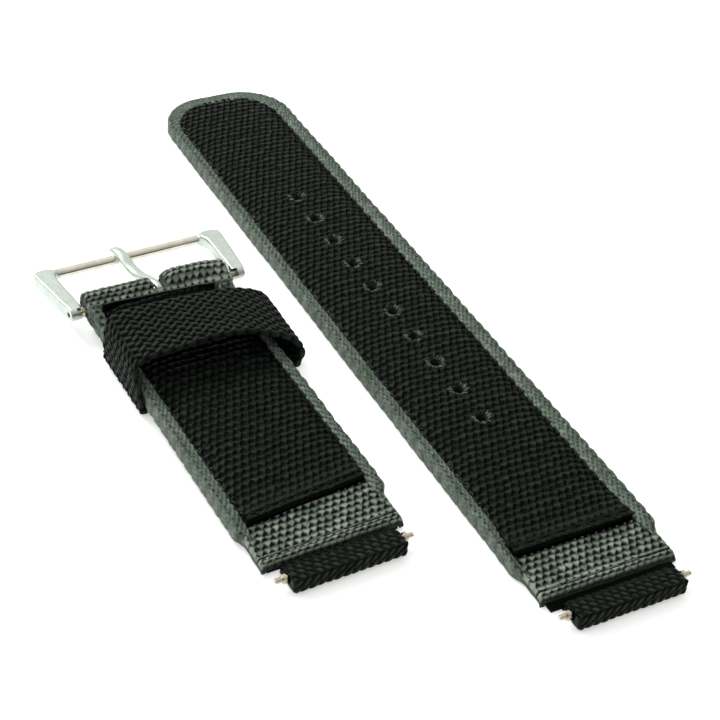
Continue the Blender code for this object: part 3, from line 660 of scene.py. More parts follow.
def coverLevel(x, y, piece, seed):
    # the cover's height without its weave, holes and seam
    look = coverLook
    left, right = coverSides(y, piece)
    middle, half = (left + right) / 2, (right - left) / 2
    edge = np.minimum(x - left, right - x)
    rounded = "coverRadius" in piece
    if rounded:
        radius = piece["coverRadius"]
        beyond = np.maximum(y - (piece["coverEnd"] - radius), 0)
        corner = radius - np.hypot(beyond, np.maximum(np.abs(x - middle) - (half - radius), 0))
        edge = np.where(beyond > 0, np.minimum(edge, corner), edge)
    edge = np.maximum(edge, 0)
    fromEnd = y - piece["coverEnd"]
    soft = ease(y - piece["coverStart"], *look["rounding"])
    drop, width = (first + more * soft for first, more in (look["edgeDrop"], look["edgeWidth"]))
    slope = drop * hump(edge, width, look["edgePower"])
    if rounded:
        slope *= 1 - look["tipEven"] * ease(fromEnd, *look["tip"])
    crown = look["crown"] * ((x - middle) / half) ** 2
    level = heights["cover"] - slope - crown * soft + look["wave"] * drift(x, y, look["waveSize"], seed + 7)
    return level + piece.get("coverRise", 0) * ease(fromEnd, *look["rising"])


def coverHeights(x, y, piece, seed, centres):
    look, hole, fromStart = coverLook, holeLook, y - piece["coverStart"]
    level = coverLevel(x, y, piece, seed)
    weave = webbing(x, y, coverCloth, seed)
    calm, melt = np.ones(x.shape), np.zeros(x.shape)
    for centreX, centreY in centres:
        distance = np.hypot(x - centreX, y - centreY)
        near = distance < hole["reach"]
        reach = distance[near] + hole["ragged"] * drift(x[near] * 3, y[near] * 3, 1.0, seed + 11)
        soften = 1 - ease(reach, hole["rim"] - 0.3, hole["rim"] + 0.35)
        level[near] += hole["rimHeight"] * hump(reach - hole["rim"], hole["rimWidth"]) - hole["sink"] * soften
        level[near] -= hole["dish"] * (1 - ease(reach, hole["radius"] - 0.15, hole["rim"] + 0.1))
        calm[near] *= 1 - hole["calm"] * soften
        melt[near] = np.maximum(melt[near], soften)
    # the thread line pulls the cloth down behind the folded end, and its groove is painted darker, as shade
    groove = hump(fromStart - piece["groove"], look["threadWidth"])
    stitch = 0.5 + 0.5 * np.cos(2 * np.pi * x / (frontSeam["stitch"] + frontSeam["gap"]))
    level -= look["threadDip"] * groove * (0.4 + 0.6 * stitch)
    level -= look["lipDrop"] * (1 - ease(fromStart, *look["lip"])) ** 2
    calm *= look["calm"] + (1 - look["calm"]) * ease(fromStart, *look["calming"])
    # painted shade in the thread's groove, and painted shadow in front of the fold
    shade = 1 + weave * calm - look["threadShade"] * groove
    if "coverRise" in piece:
        shade *= 1 - look["dark"] * ease(y - piece["coverEnd"], *look["foldShadowing"])
    return level + coverCloth["depth"] * weave * calm, shade, melt


def addCover(name, piece, place, replaced, seed, centres=()):
    start, end, radius = piece["coverStart"] + 0.1, piece["coverEnd"], piece.get("coverRadius", 0)
    columns = int((piece["coverRight"] - piece["coverLeft"]) / weaveStep) + 1
    ys = stations(start, end - radius)
    inset = np.zeros(len(ys))
    if radius:
        # round the free end the rows get shorter
        turns = np.radians(np.linspace(0, 90, int(radius * math.pi / 2 / weaveStep) + 1))[1:]
        ys = np.concatenate([ys, end - radius + radius * np.sin(turns)])
        beyond = np.maximum(ys - (end - radius), 0)
        inset = radius - np.sqrt(np.maximum(radius ** 2 - beyond ** 2, 0))
    left, right = coverSides(ys, piece)
    x = (left + inset)[:, None] + (right - left - 2 * inset)[:, None] * np.linspace(0, 1, columns)
    y = np.repeat(ys[:, None], columns, 1)
    cut = np.zeros((len(ys) - 1, columns - 1), bool)
    middleX, middleY = ((part[:-1, :-1] + part[1:, 1:]) / 2 for part in (x, y))
    for centreX, centreY in centres:
        # faces inside the hole go, and the points near its edge move most of the way onto it
        cut |= np.hypot(middleX - centreX, middleY - centreY) < holeLook["radius"]
        distance = np.hypot(x - centreX, y - centreY)
        close = np.abs(distance - holeLook["radius"]) < 0.7 * weaveStep
        pull = (holeLook["radius"] / np.maximum(distance[close], 1e-6) - 1) * holeLook["snap"]
        x[close] += (x[close] - centreX) * pull
        y[close] += (y[close] - centreY) * pull
    z, shade, melt = coverHeights(x, y, piece, seed, centres)
    points, faces, kept = closedSheet(np.stack([x, y + leaning(x, y, piece), z], -1), heights["webTop"], cut)
    # the walls get a dark painted shade
    lift = np.full(len(points), coverLook["wallShade"])
    lift[:len(kept)] = shade.ravel()[kept]
    return addPiece(name, points, faces, place, ballisticNylon, "strap", "black_webbing", replaced, lift,
                    melt.ravel()[kept])


# sections of the cover's folded end: places behind its front and below its top, and each corner's radius
foldedEndLook = {
    "lip": [(0.7, 0.5, 0.08), (0.7, 0.22, 0.1), (0.0, 0.14, 0.14), (0.02, 0.5, 0.14)],
    "under": [(0.75, 2.2, 0.1), (0.75, 0.3, 0.1), (1.6, 0.3, 0.1), (1.6, 2.2, 0.1)],
    "inset": 0.05, "step": 0.15, "rough": 0.05, "wander": 0.07, "wobble": 0.03, "lift": 0.05,
}


def addFoldedEnd(name, piece, place, seed):
    # the cover's folded end: a flat lip that stands over a dark slot
    look, start, level = foldedEndLook, piece["coverStart"], heights["cover"]
    left, right = coverSides(start + 0.5, piece)
    xs = stations(left + look["inset"], right - look["inset"], look["step"])
    lean = leaning(xs, start, piece)[:, None]
    lip, under = ([(start + behind, level - below, radius) for behind, below, radius in look[part]]
                  for part in ("lip", "under"))
    grid = drawn(xs, roundedRing(lip, 40))[0]
    wander = look["wander"] * drift(xs, 0 * xs, 3.5, seed) + look["wobble"] * drift(xs, 0 * xs, 0.8, seed + 1)
    grid[..., 1] += wander[:, None] + lean
    grid[..., 2] += look["lift"] * drift(xs, 0 * xs, 5.0, seed + 2)[:, None]
    rough = look["rough"] * drift(grid[..., 0] * 1.6, grid[..., 1] * 1.2 + grid[..., 2], 0.5, seed + 3)
    points, faces = sweep(pushed(grid, rough))
    # the lip is painted lighter where its rough surface stands out, as highlight
    addPiece(name, points, faces, place, ballisticNylon, "strap", "black_webbing", (), 0.55 + 8 * rough)
    # the cloth's turned-under layer stands further in and is painted at its darkest, as the slot's shade
    grid = drawn(xs, roundedRing(under, 24))[0]
    grid[..., 1] += lean
    points, faces = sweep(grid)
    return addPiece(name + "_under", points, faces, place, liningCloth, "strap", "black_webbing", (), 0.0)


# Grey border: one sweep that rounds over the strap's edge

borderLook = {
    "points": 64, "lobe": 2.55, "swaySize": 6.0, "sway": 0.5,
    # shares of the way round the section, and across it, where its faces turn into each other
    "topShares": (0.52, 0.70), "sideShares": (0.70, 0.95), "edgeShares": (0.66, 0.80),
    "underShadeShares": (0.72, 0.85), "pitAt": 0.66, "pitWidth": 0.15, "pitDepth": 0.12, "hairAt": 0.10,
    "hairWidth": 0.16, "hair": 0.035,
    "wander": 0.06, "wanderSize": 7.0, "sideCalm": 0.65, "coarse": 1.7,
    "leftLobes": 0.12, "rightLobes": 0.23, "longLobes": 0.11, "longLobesMore": 0.12, "tipCalm": (0.7, 0.55),
    "endDip": 0.3,
}


def borderRing(width, crown, crease):
    # from the crease beside the cover over the top, down the strap's edge and back underneath
    corners = [(0.0, crease, 0.08), (min(0.75, 0.42 * width), crown - 0.05, 0.35),
               (width - 0.05, crown + 0.02, 0.75), (width, 0.12, 0.45), (width - 0.7, 0.08, 0.2),
               (0.0, 0.64, 0.1)]
    return roundedRing(corners, borderLook["points"])


def addBorder(name, inner, outer, crowns, scallops, calm, place, replaced, seed, coarse=0.0):
    look = borderLook
    creases = np.minimum(heights["crease"], crowns - 0.05)
    width = np.linalg.norm(outer - inner, axis=1)[:, None]
    rings = np.array([borderRing(*row) for row in zip(width[:, 0], crowns, creases)])
    share = rings[..., 0] / width
    grid = np.dstack([inner[:, None, :] + share[..., None] * (outer - inner)[:, None, :], rings[..., 1]])
    around = np.array([distances(ring) for ring in rings])
    total = around[:, -1:]
    along = np.repeat(distances(outer)[:, None], look["points"], 1)

    def past(shares):
        return ease(around, shares[0] * total, shares[1] * total)

    onTop = around < 0.5 * total
    topOnly = 1 - past(look["topShares"])
    side = ease(share, *look["sideShares"]) * (1 - past(look["edgeShares"]))
    strength = topOnly * calm[:, None] * (1 - look["sideCalm"] * side)
    weave = webbing(around - 0.1, along, borderCloth, seed)
    ribs = look["coarse"] * webbing(around - 0.1, along, baseCloth, seed)
    weave += (ribs - weave) * np.reshape(coarse, (-1, 1))
    # smooth lobes along the outer edge, a row of small pits just inside them, loose hair along the cover
    beat = np.pi / look["lobe"] * (along + look["sway"] * drift(along, along * 0, look["swaySize"], seed + 3))
    bumps = (np.abs(np.cos(beat)) - 1) * side
    pits = hump((share - look["pitAt"]) * width, look["pitWidth"]) * onTop
    pits *= np.clip(np.cos(4 * beat), 0, 1) * calm[:, None]
    hair = drift(along, around * 0.6, 0.27, seed + 9)
    inside = hump(share - look["hairAt"], look["hairWidth"]) * onTop
    wander = look["wander"] * drift(along, along * 0, look["wanderSize"], seed + 5) * ease(share, 0.5, 1.0)
    depth = borderCloth["depth"] * weave * strength + scallops[:, None] * bumps + wander
    depth += look["hair"] * hair * topOnly - look["pitDepth"] * pits
    points, faces = sweep(pushed(grid, depth))
    # the colour is painted: lighter on the weave's and the lobes' crowns and on the outer side, as highlight,
    # darker in the pits, as shade, and much darker underneath, as shade; the hair gives uneven tone, paler along
    # the cover
    lift = 0.72 + 0.5 * weave * strength + 0.2 * bumps + 0.16 * hair * (1 + inside) + 0.1 * side
    lift = np.clip(lift + 0.22 * inside - 0.8 * pits, 0, 1) * (1 - 0.9 * past(look["underShadeShares"]))
    return addPiece(name, points, faces, place, edgeNylon, "strap", "grey_webbing", replaced, lift)


lugEndLook = {
    "fall": 0.75, "falling": (-0.1, 0.8), "fallPower": 1.3, "borderFall": 0.6,
    # the border comes up and opens out behind the lugs, and climbs beside the buckle's fold; the places are
    # from the lug bar, but falling is from the lip and climbing from the cover's end
    "edge": 0.7, "coming": (5.5, 12.0), "coverGap": 0.3, "widening": (8.2, 10.2), "hidden": 0.55,
    "climb": 0.95, "climbing": (-4.0, 0.1),
}


def lipFall(y, piece):
    # how far the webbing rounds down towards its end at the lugs
    level = 1 - ease(y - piece["lip"], *lugEndLook["falling"])
    return lugEndLook["fall"] * level ** lugEndLook["fallPower"]


def lugTaper(ys, piece, side):
    # towards the lugs the border narrows to the webbing's own edge
    look = lugEndLook
    full = coverSides(ys, piece)[0 if side < 0 else 1]
    close = side * (piece["lugHalf"] - look["edge"])
    innerX = close + (full - close) * ease(ys, look["coming"][0], piece["coverStart"] + look["coverGap"])
    wider = (piece["half"] - piece["lugHalf"]) * ease(ys, *look["widening"])
    hidden = heights["webTop"] - look["hidden"]
    crowns = hidden + (heights["border"] - hidden) * ease(ys, *look["coming"])
    crowns -= lipFall(ys, piece) * look["borderFall"]
    if "coverRise" in piece:
        crowns += look["climb"] * ease(ys - piece["coverEnd"], *look["climbing"])
    return innerX, side * (piece["lugHalf"] + wider), crowns


def addLongBorder(name, piece, place, replaced, seed):
    look, start, end = borderLook, piece["lip"], piece["end"]
    sideEnd = end - piece["endRadius"]
    ys = np.arange(start, sideEnd, borderStep)
    leftIn, leftOut, leftCrown = lugTaper(ys, piece, -1)
    rightIn, rightOut, rightCrown = lugTaper(ys, piece, 1)
    outerEnd = roundedEnd(-piece["half"], piece["half"], end, piece["endRadius"], borderStep)
    cover = (piece["coverLeft"], piece["coverRight"], piece["coverEnd"], piece["coverRadius"])
    innerEnd = roundedEnd(*cover, borderStep)
    # the inner line's straight part ends a little lower, so its rows are stretched to meet
    stretch = (piece["coverEnd"] - piece["coverRadius"] - start) / (sideEnd - start)
    innerY = start + (ys - start) * (1 + (stretch - 1) * ease(ys, 60, sideEnd))
    inner = np.concatenate([np.stack([leftIn, innerY], 1), evenly(innerEnd, len(outerEnd)),
                            np.stack([rightIn, innerY], 1)[::-1]])
    outer = np.concatenate([np.stack([leftOut, ys], 1), outerEnd, np.stack([rightOut, ys], 1)[::-1]])
    turn = np.concatenate([0 * ys, np.linspace(0, 1, len(outerEnd)), 0 * ys + 1])
    ends = heights["border"] - look["endDip"] * np.sin(np.linspace(0, math.pi, len(outerEnd))) ** 0.7
    tip = hump(turn - 0.5, 0.33, 4) * ((turn > 0) & (turn < 1))
    scallops = look["longLobes"] + look["longLobesMore"] * ease(turn, 0.7, 1.0)
    scallops *= 1 - look["tipCalm"][0] * tip
    return addBorder(name, inner, outer, np.concatenate([leftCrown, ends, rightCrown[::-1]]), scallops,
                     1 - look["tipCalm"][1] * tip, place, replaced, seed)


def addShortBorder(name, side, piece, place, replaced, seed):
    ys = np.arange(piece["lip"], piece["borderEnd"], borderStep)
    innerX, outerX, crowns = lugTaper(ys, piece, side)
    scallops = np.full(len(ys), borderLook["rightLobes"] if side > 0 else borderLook["leftLobes"])
    inner, outer = np.stack([innerX, ys], 1), np.stack([outerX, ys], 1)
    return addBorder(name, inner, outer, crowns, scallops, np.ones(len(ys)), place, replaced, seed,
                     ease(ys, 55.5, 57.5))


# Grey webbing at the lugs

lugWebLook = {
    "inset": 0.02, "past": 0.3, "seamWidth": 0.13, "seamDip": 0.3, "seamCalm": 0.6, "seamCalmWidth": 0.45,
    "slotDip": 0.6, "edgeDip": 0.6, "ragged": 0.06, "wave": 0.04, "wallShade": 0.5,
}


def addLugWeb(name, piece, place, replaced, seed):
    look, half, start = lugWebLook, piece["lugHalf"] - lugWebLook["inset"], piece["lip"]
    x, y = np.meshgrid(stations(-half, half), stations(start, piece["coreStart"] + look["past"]))
    away = y - (piece["seam"] + piece["seamTilt"] * x + 0.08 * drift(x, x * 0, 4.0, seed + 4))
    inward = half - np.abs(x)
    # in front of the seam the floats are pulled short
    weave = webbing(x, y + np.minimum(away + 0.1, 0), baseCloth, seed)
    groove = hump(away, look["seamWidth"])
    calm = np.clip(1 - look["seamCalm"] * hump(away, look["seamCalmWidth"]), 0.1, 1)
    calm *= 0.3 + 0.7 * ease(inward, 0.15, 0.6)
    calm *= 0.35 + 0.65 * ease(y, start + 0.15, start + 0.6)
    fall = lipFall(y, piece)
    slot = ease(y - piece["coverStart"] - leaning(x, piece["coverStart"], piece), -0.3, 0.15)
    z = heights["webTop"] + baseCloth["depth"] * weave * calm - look["seamDip"] * groove - fall
    z += look["wave"] * drift(x, y, 6.0, seed + 6) - look["slotDip"] * slot
    z -= look["edgeDip"] * (1 - ease(inward, -0.1, 0.55)) ** 2
    y = y + look["ragged"] * drift(x, x * 0, 2.0, seed + 8) * (1 - ease(y, start, start + 1))
    points, faces, kept = closedSheet(np.stack([x, y, z], -1), heights["webLow"])
    # painted shade in the seam's groove, under the cover's folded end and where the lip rounds down; the walls get
    # a middling painted shade
    shade = 1 + weave * calm - 0.9 * groove - 1.2 * ease(slot, 0.25, 0.8) - 0.5 * ease(fall, 0.3, 0.7)
    lift = np.full(len(points), look["wallShade"])
    lift[:len(kept)] = np.clip(shade, 0, 1).ravel()
    return addPiece(name, points, faces, place, greyNylon, "strap", "grey_webbing", replaced, lift)


# Black loop round the lug bar

loopLook = {
    # back bottom, back, where the top drops behind, top front edge, front bottom, and the last under the back
    "section": [(2.6, 0.6, 0.2), (2.5, 1.5, 0.4), (0.9, 2.75, 0.7), (-2.25, 3.14, 0.3), (-2.45, 0.0, 1.1),
                (2.6, 0.05, 0.2)],
    "half": 8.8, "girth": 15.5, "boreRadius": 0.85,
    # yarns lean slightly one way on the top and clearly the other way where they go down the front
    "topLean": -0.4, "frontLean": 0.55, "frontPull": 0.55,
    "creaseWidth": 0.13, "creaseDip": 0.3, "ridge": 0.05, "ridgeWidth": 0.16, "lowCalm": 0.2, "endDip": 0.25,
}


def addLugLoop(name, place, replaced, seed, crease):
    look = loopLook
    half, count = look["half"], int(look["girth"] / weaveStep)
    ring = roundedRing(look["section"], count)
    grid, around = drawn(stations(-half, half), ring)
    corner = around[0, np.argmin(ring[:, 0] - ring[:, 1] * 1.2)]  # the top's front edge
    down = around - corner - 0.1
    front = down > 0
    leant = grid[..., 0] + np.where(front, look["frontLean"], look["topLean"]) * down
    cords = webbing(leant, np.where(front, look["frontPull"] * down, down) - 0.4, loopCloth, seed)
    ends = 1 - ease(half - np.abs(grid[..., 0]), 0, 0.45)
    fold = crease * hump(down - 0.02, look["creaseWidth"])
    ridge = hump(down + 0.28, look["ridgeWidth"])
    low = ease(down, 0.7, 2.5)
    depth = loopCloth["depth"] * cords * (1 - look["lowCalm"] * low) - look["endDip"] * ends ** 2
    grid = pushed(grid, depth - look["creaseDip"] * fold + look["ridge"] * ridge)
    # the colour is painted: darker in the crease and behind the top, as shade, lighter on the ridge, as highlight,
    # and lighter low on the front, as light from the floor
    behind = ease(grid[..., 1], 0.3, 2.0) * (around < corner)
    shade = np.clip(1 + cords - 0.8 * fold + 0.25 * ridge - 0.9 * behind + 0.25 * low, 0, 1)
    # the bar's bore goes through from end to end
    bore = []
    for rim in (grid[0], grid[-1]):
        angles = np.arctan2(rim[:, 2] - sizes["barHeight"], rim[:, 1])
        bore.append(np.stack([rim[:, 0], look["boreRadius"] * np.cos(angles),
                              sizes["barHeight"] + look["boreRadius"] * np.sin(angles)], 1))
    faces = gridQuads(len(grid), count, False, True).tolist()
    far, nearBore, farBore = (len(grid) - 1) * count, len(grid) * count, (len(grid) + 1) * count
    for i in range(count):
        j = (i + 1) % count
        faces.append([j, i, nearBore + i, nearBore + j])
        faces.append([far + i, far + j, farBore + j, farBore + i])
        faces.append([nearBore + j, nearBore + i, farBore + i, farBore + j])
    points = np.concatenate([grid.reshape(-1, 3)] + bore)
    return addPiece(name, points, faces, place, ribbedNylon, "strap", "black_webbing", replaced, shade)


# Flat layers inside the strap

plateLook = {
    "inset": 0.9, "step": 0.6, "holeSides": 28, "shades": {"core": 0.3, "backing": 0.5},
    "core": (greyNylon, "strap", "grey_webbing"), "backing": (liningCloth, "strap", "lining"),
}


def plateOutline(piece, start, far):
    # narrow at the lugs, then as wide as the strap; far is the line of points round the other end
    near, side = piece["lugHalf"] - plateLook["inset"], piece["half"] - plateLook["inset"]
    low, high = piece["shoulder"]
    right = [(near, start), (near, low), (side, high)]
    return [(-x, y) for x, y in right] + far + right[::-1]


def addPlate(name, level, outline, rings, place, replaced=()):
    points, faces = plate(outline, rings, *heights[level])
    return addPiece(name, points, faces, place, *plateLook[level], replaced, plateLook["shades"][level])


# Long piece

frayLook = {
    # melted and frayed filaments stand up round every hole, mostly at its left, right and near side;
    # near and far are the least reach and what chance adds, height that of the near and the far end
    "count": 34, "sides": (180, 0, 265, 180, 20), "turn": 75, "twist": 0.5, "radius": 0.045,
    "near": (0.8, 0.4), "far": (1.1, 0.75), "height": (2.86, 3.04),
}


def addFrays(name, place):
    look = frayLook
    frays = []
    for number, (centreX, centreY) in enumerate(holes):
        for k in range(look["count"]):
            a, b, c, d = (draw(number, k, 90 + part) for part in range(4))
            angle = math.radians(look["sides"][k % 5] + look["turn"] * (a - 0.5))
            turn = angle + look["twist"] * (d - 0.5)
            near, far = look["near"][0] + look["near"][1] * b, look["far"][0] + look["far"][1] * c
            low, high = look["height"]
            frays.append(((centreX + near * math.cos(angle), centreY + near * math.sin(angle), low + 0.2 * b),
                          (centreX + far * math.cos(turn), centreY + far * math.sin(turn), high + 0.2 * d)))
    return addStitches(name, frays, place, [], look["radius"], cutNylon)


def addLongPiece():
    piece, place, inset, aside = longPiece, longPlace, plateLook["inset"], coverSeam["aside"]
    addCover("long_cover", piece, place, ["long_top_overlay"], 3, holes)
    addFoldedEnd("long_cover_fold", piece, place, 5)
    addLongBorder("long_border", piece, place, ["long_edge_strip"], 21)
    addLugWeb("long_lug_web", piece, place, [], 11)
    addLugLoop("long_loop", place, ["long_lug_loop"], 13, 1.0)
    side = piece["half"] - inset
    far = roundedEnd(-side, side, piece["end"] - inset, piece["endRadius"] - inset, plateLook["step"])
    far = [tuple(point) for point in far]
    rings = [arcPoints(hole, holeLook["through"], 0, 360, plateLook["holeSides"]) for hole in holes]
    rings = [ring[:-1].tolist() for ring in rings]
    outline = plateOutline(piece, piece["coreStart"], far)
    addPlate("long_web_core", "core", outline, rings, place, ["long_base_webbing"])
    outline = plateOutline(piece, piece["backingStart"], far)
    addPlate("long_backing", "backing", outline, rings, place, ["long_lining"])
    left, right = piece["coverLeft"] - aside, piece["coverRight"] + aside
    start = piece["coverStart"] + piece["groove"]
    edge = roundedEnd(left, right, piece["coverEnd"] + aside, piece["coverRadius"] + aside, 0.5)
    seam = np.concatenate([[(left, start)], edge, [(right, start)]])
    addSeam("long_cover_seam", [seam], place, ["long_overlay_thread"], coverSeam)
    addCrossSeams("long", piece, place)
    addFrays("long_cover_frayed", place)
    addLooseHairs("long_border_hair", piece, place, 13.0, 133.0, 420, 301)


addLongPiece()
print("long piece built")


# Short piece: the webbing turned round the buckle's bar, in two rolls with the tongue's slot between them

foldLook = {
    "outer": 2.5, "back": 0.2, "raise": 0.4, "bore": 0.87, "girth": 15.0, "half": 12.0, "arc": (108, -95),
    "flapEnd": 60.5, "flapTop": 3.75, "slotLeft": -0.85, "slotRight": 1.45, "underBack": 2.2, "floor": 0.06,
    # the right half of the fold stands higher beside the tongue, and rises behind its turned end
    "rise": 0.6, "rising": (60.8, 62.4),
    # the turned end doesn't lie quite square: it reaches further on the left
    "slant": -0.082, "slanting": (60.8, 62.6),
    # the weave starts behind the cut end, in front of which the webbing is painted dark, as shade
    "weave": (1.55, 1.8), "lit": (1.35, 1.75), "lively": 0.86, "endDip": 0.22,
}
# past the fold's turned end, the thin ridge between the rolls: line above and line below it
bridgeLook = {
    "overlap": 0.12, "top": [(0, 3.3), (0, 3.7), (0.12, 3.77), (0.8, 4.15)],
    "under": [(0.82, 3.98), (0.7, 3.75), (0.1, 3.3)], "length": 1.4, "start": 1.2, "depth": 0.30,
}
cutLine = {
    "section": [(60.34, 3.5, 0.06), (60.34, 3.68, 0.08), (60.6, 3.74, 0.08), (60.6, 3.45, 0.06)],
    "reach": (-9.6, 8.8), "count": 150, "base": 3.5, "fade": 1.6, "wander": 0.05, "rough": 0.03,
    "shade": 0.05,
}


def foldSection():
    # outside first, from the flap's end over the top and underneath; then back along the bore
    look, bar, height = foldLook, sizes["barDistance"], sizes["buckleBarHeight"]
    end, top, bore, inner = look["flapEnd"], look["flapTop"], look["bore"], shortPiece["backingEnd"] - 0.1
    outside = [(end, 2.1), (end, top - 0.1), (end + 0.12, top)]
    centre = (bar + look["back"], height + look["raise"])
    outside += [(y, max(z, look["floor"])) for y, z in arcPoints(centre, look["outer"], *look["arc"], 34)]
    outside += [(bar - look["underBack"], 0.1), (inner, 0.5)]
    inside = [(inner, 1.9), (bar - bore, 1.88)]
    inside += [tuple(point) for point in arcPoints((bar, height), bore, -178, 172, 24)]
    inside += [(bar - bore - 0.02, 2.05)]
    return evenly(outside, int(look["girth"] / weaveStep)), evenly(inside, 60)


def foldRise(x, y, z):
    right = ease(x, 1.2, 3.0) * (1 - 0.9 * ease(x, 7.0, 12.0))
    return foldLook["rise"] * right * ease(z, 1.6, 4.4) * ease(y, *foldLook["rising"])


def flapShift(x, y, z):
    return foldLook["slant"] * x * (1 - ease(y, *foldLook["slanting"])) * (z > heights["webTop"])


def foldShade(weave, around):
    return 1 + foldLook["lively"] * weave, ease(around, *foldLook["lit"])


def addRoll(name, low, high, replaced, seed):
    look = foldLook
    outside, inside = foldSection()
    ring = np.concatenate([outside, inside])
    grid = drawn(stations(low, high), ring)[0]
    raised = ring.copy()
    raised[:, 1] += foldRise((low + high) / 2, ring[:, 0], ring[:, 1])
    around = np.repeat(distances(raised)[None, :], len(grid), 0)
    shown = 1.0 * (np.arange(len(ring)) < len(outside))
    reach = around[0, len(outside) - 1]
    mask = shown * ease(around, *look["weave"]) * (1 - ease(around, reach - 1.0, reach - 0.3))
    weave = webbing(grid[..., 0], around, baseCloth, seed)
    ends = 1 - ease(np.minimum(grid[..., 0] - low, high - grid[..., 0]), 0, 0.4)
    depth = (baseCloth["depth"] * weave - look["endDip"] * ends ** 2) * mask
    # only the outside moves, along its own normal in the section
    tangent = np.gradient(ring, axis=0)
    normal = np.stack([-tangent[:, 1], tangent[:, 0]], 1)
    normal /= np.linalg.norm(normal, axis=1, keepdims=True) + 1e-12
    grid[..., 1:] += normal * depth[..., None]
    grid[..., 1] += flapShift(*np.moveaxis(grid, 2, 0))
    grid[..., 2] += foldRise(*np.moveaxis(grid, 2, 0))
    points, faces = sweep(grid)
    # painted shade: darker inside round the bar, and on the turned end in front of the cut except near the strap's
    # edges
    bright, past = foldShade(weave * mask, around)
    middlePart = 1 - ease(np.abs(grid[..., 0] + 0.4), 8.9, 9.6)
    lift = np.clip(bright * (0.35 + 0.65 * shown) * (1 - middlePart * (1 - past)), 0, 1)
    return addPiece(name, points, faces, shortPlace, greyNylon, "strap", "grey_webbing", replaced, lift)


def addBridge(name, seed):
    # the webbing closes again in front of the tongue's slot and covers the tongue's curl;
    # it ends where the tongue stands when it is swung right up
    look, end = bridgeLook, foldLook["flapEnd"]
    top, under = ([(end + y, z) for y, z in look[part]] for part in ("top", "under"))
    line = evenly(top, int(look["length"] / weaveStep))
    ring = np.concatenate([line, evenly(under, 12)])
    xs = stations(foldLook["slotLeft"] - look["overlap"], foldLook["slotRight"] + look["overlap"])
    grid, around = drawn(xs, ring)
    around += look["start"]
    mask = ease(around, *foldLook["weave"]) * (np.arange(len(ring)) < len(line))
    weave = webbing(grid[..., 0], around, baseCloth, seed)
    grid[..., 2] += look["depth"] * weave * mask
    grid[..., 1] += flapShift(*np.moveaxis(grid, 2, 0))
    points, faces = sweep(grid)
    # painted shade on the bridge in front of the cut end
    bright, past = foldShade(weave * mask, around)
    return addPiece(name, points, faces, shortPlace, greyNylon, "strap", "grey_webbing", (),
                    np.clip(bright * past, 0, 1))


def addCutEdge(name, seed):
    # the heat cut end of the fold, a thin pale ridge across the strap
    look, low, high = cutLine, *cutLine["reach"]
    xs = np.linspace(low, high, look["count"])
    grid = drawn(xs, roundedRing(look["section"], 24))[0]
    fade = ease(np.minimum(xs - low, high - xs), 0, look["fade"])
    sideways = look["wander"] * drift(xs, xs * 0, 2.0, seed) + flapShift(xs, 60.5, 3.0)
    grid[..., 1] += sideways[:, None]
    grid[..., 2] = look["base"] + (grid[..., 2] - look["base"]) * (0.1 + 0.9 * fade[:, None])
    grid[..., 2] += look["wander"] * drift(xs, xs * 0, 1.2, seed + 1)[:, None]
    grid = pushed(grid, look["rough"] * drift(grid[..., 0] * 3, grid[..., 1], 0.5, seed + 2))
    points, faces = sweep(grid)
    return addPiece(name, points, faces, shortPlace, cutNylon, "strap", "grey_webbing", (), look["shade"])


def addShortPiece():
    piece, place, aside = shortPiece, shortPlace, coverSeam["aside"]
    addCover("short_cover", piece, place, ["short_top_overlay"], 33)
    addFoldedEnd("short_cover_fold", piece, place, 35)
    addShortBorder("short_border_left", -1, piece, place, ["short_edge_strip_left"], 41)
    addShortBorder("short_border_right", 1, piece, place, ["short_edge_strip_right"], 47)
    addLugWeb("short_lug_web", piece, place, [], 43)
    addLugLoop("short_loop", place, ["short_lug_loop"], 45, 0.4)
    side, far = piece["half"] - plateLook["inset"], piece["backingEnd"]
    outline = plateOutline(piece, piece["backingStart"], [(-side, far), (side, far)])
    addPlate("short_backing", "backing", outline, [], place, ["short_lining"])
    outline = [(-side, piece["coreStart"]), (-side, far + 1.0), (side, far + 1.0), (side, piece["coreStart"])]
    addPlate("short_web_core", "core", outline, [], place)
    ys = np.linspace(13.0, 56.0, 80)
    left, right = coverSides(ys, piece)
    lines = [np.stack([left - aside, ys], 1), np.stack([right + aside, ys], 1)]
    addSeam("short_cover_seam", lines, place, ["short_overlay_thread"], coverSeam)
    addCrossSeams("short", piece, place)
    addRoll("short_fold_left", -foldLook["half"], foldLook["slotLeft"], ["short_base_webbing"], 51)
    addRoll("short_fold_right", foldLook["slotRight"], foldLook["half"], [], 52)
    addBridge("short_fold_bridge", 51)
    addCutEdge("short_fold_cut", 61)
    addLooseHairs("short_border_hair", piece, place, 12.0, 42.0, 150, 307)


addShortPiece()
print("short piece built")


# Keeper

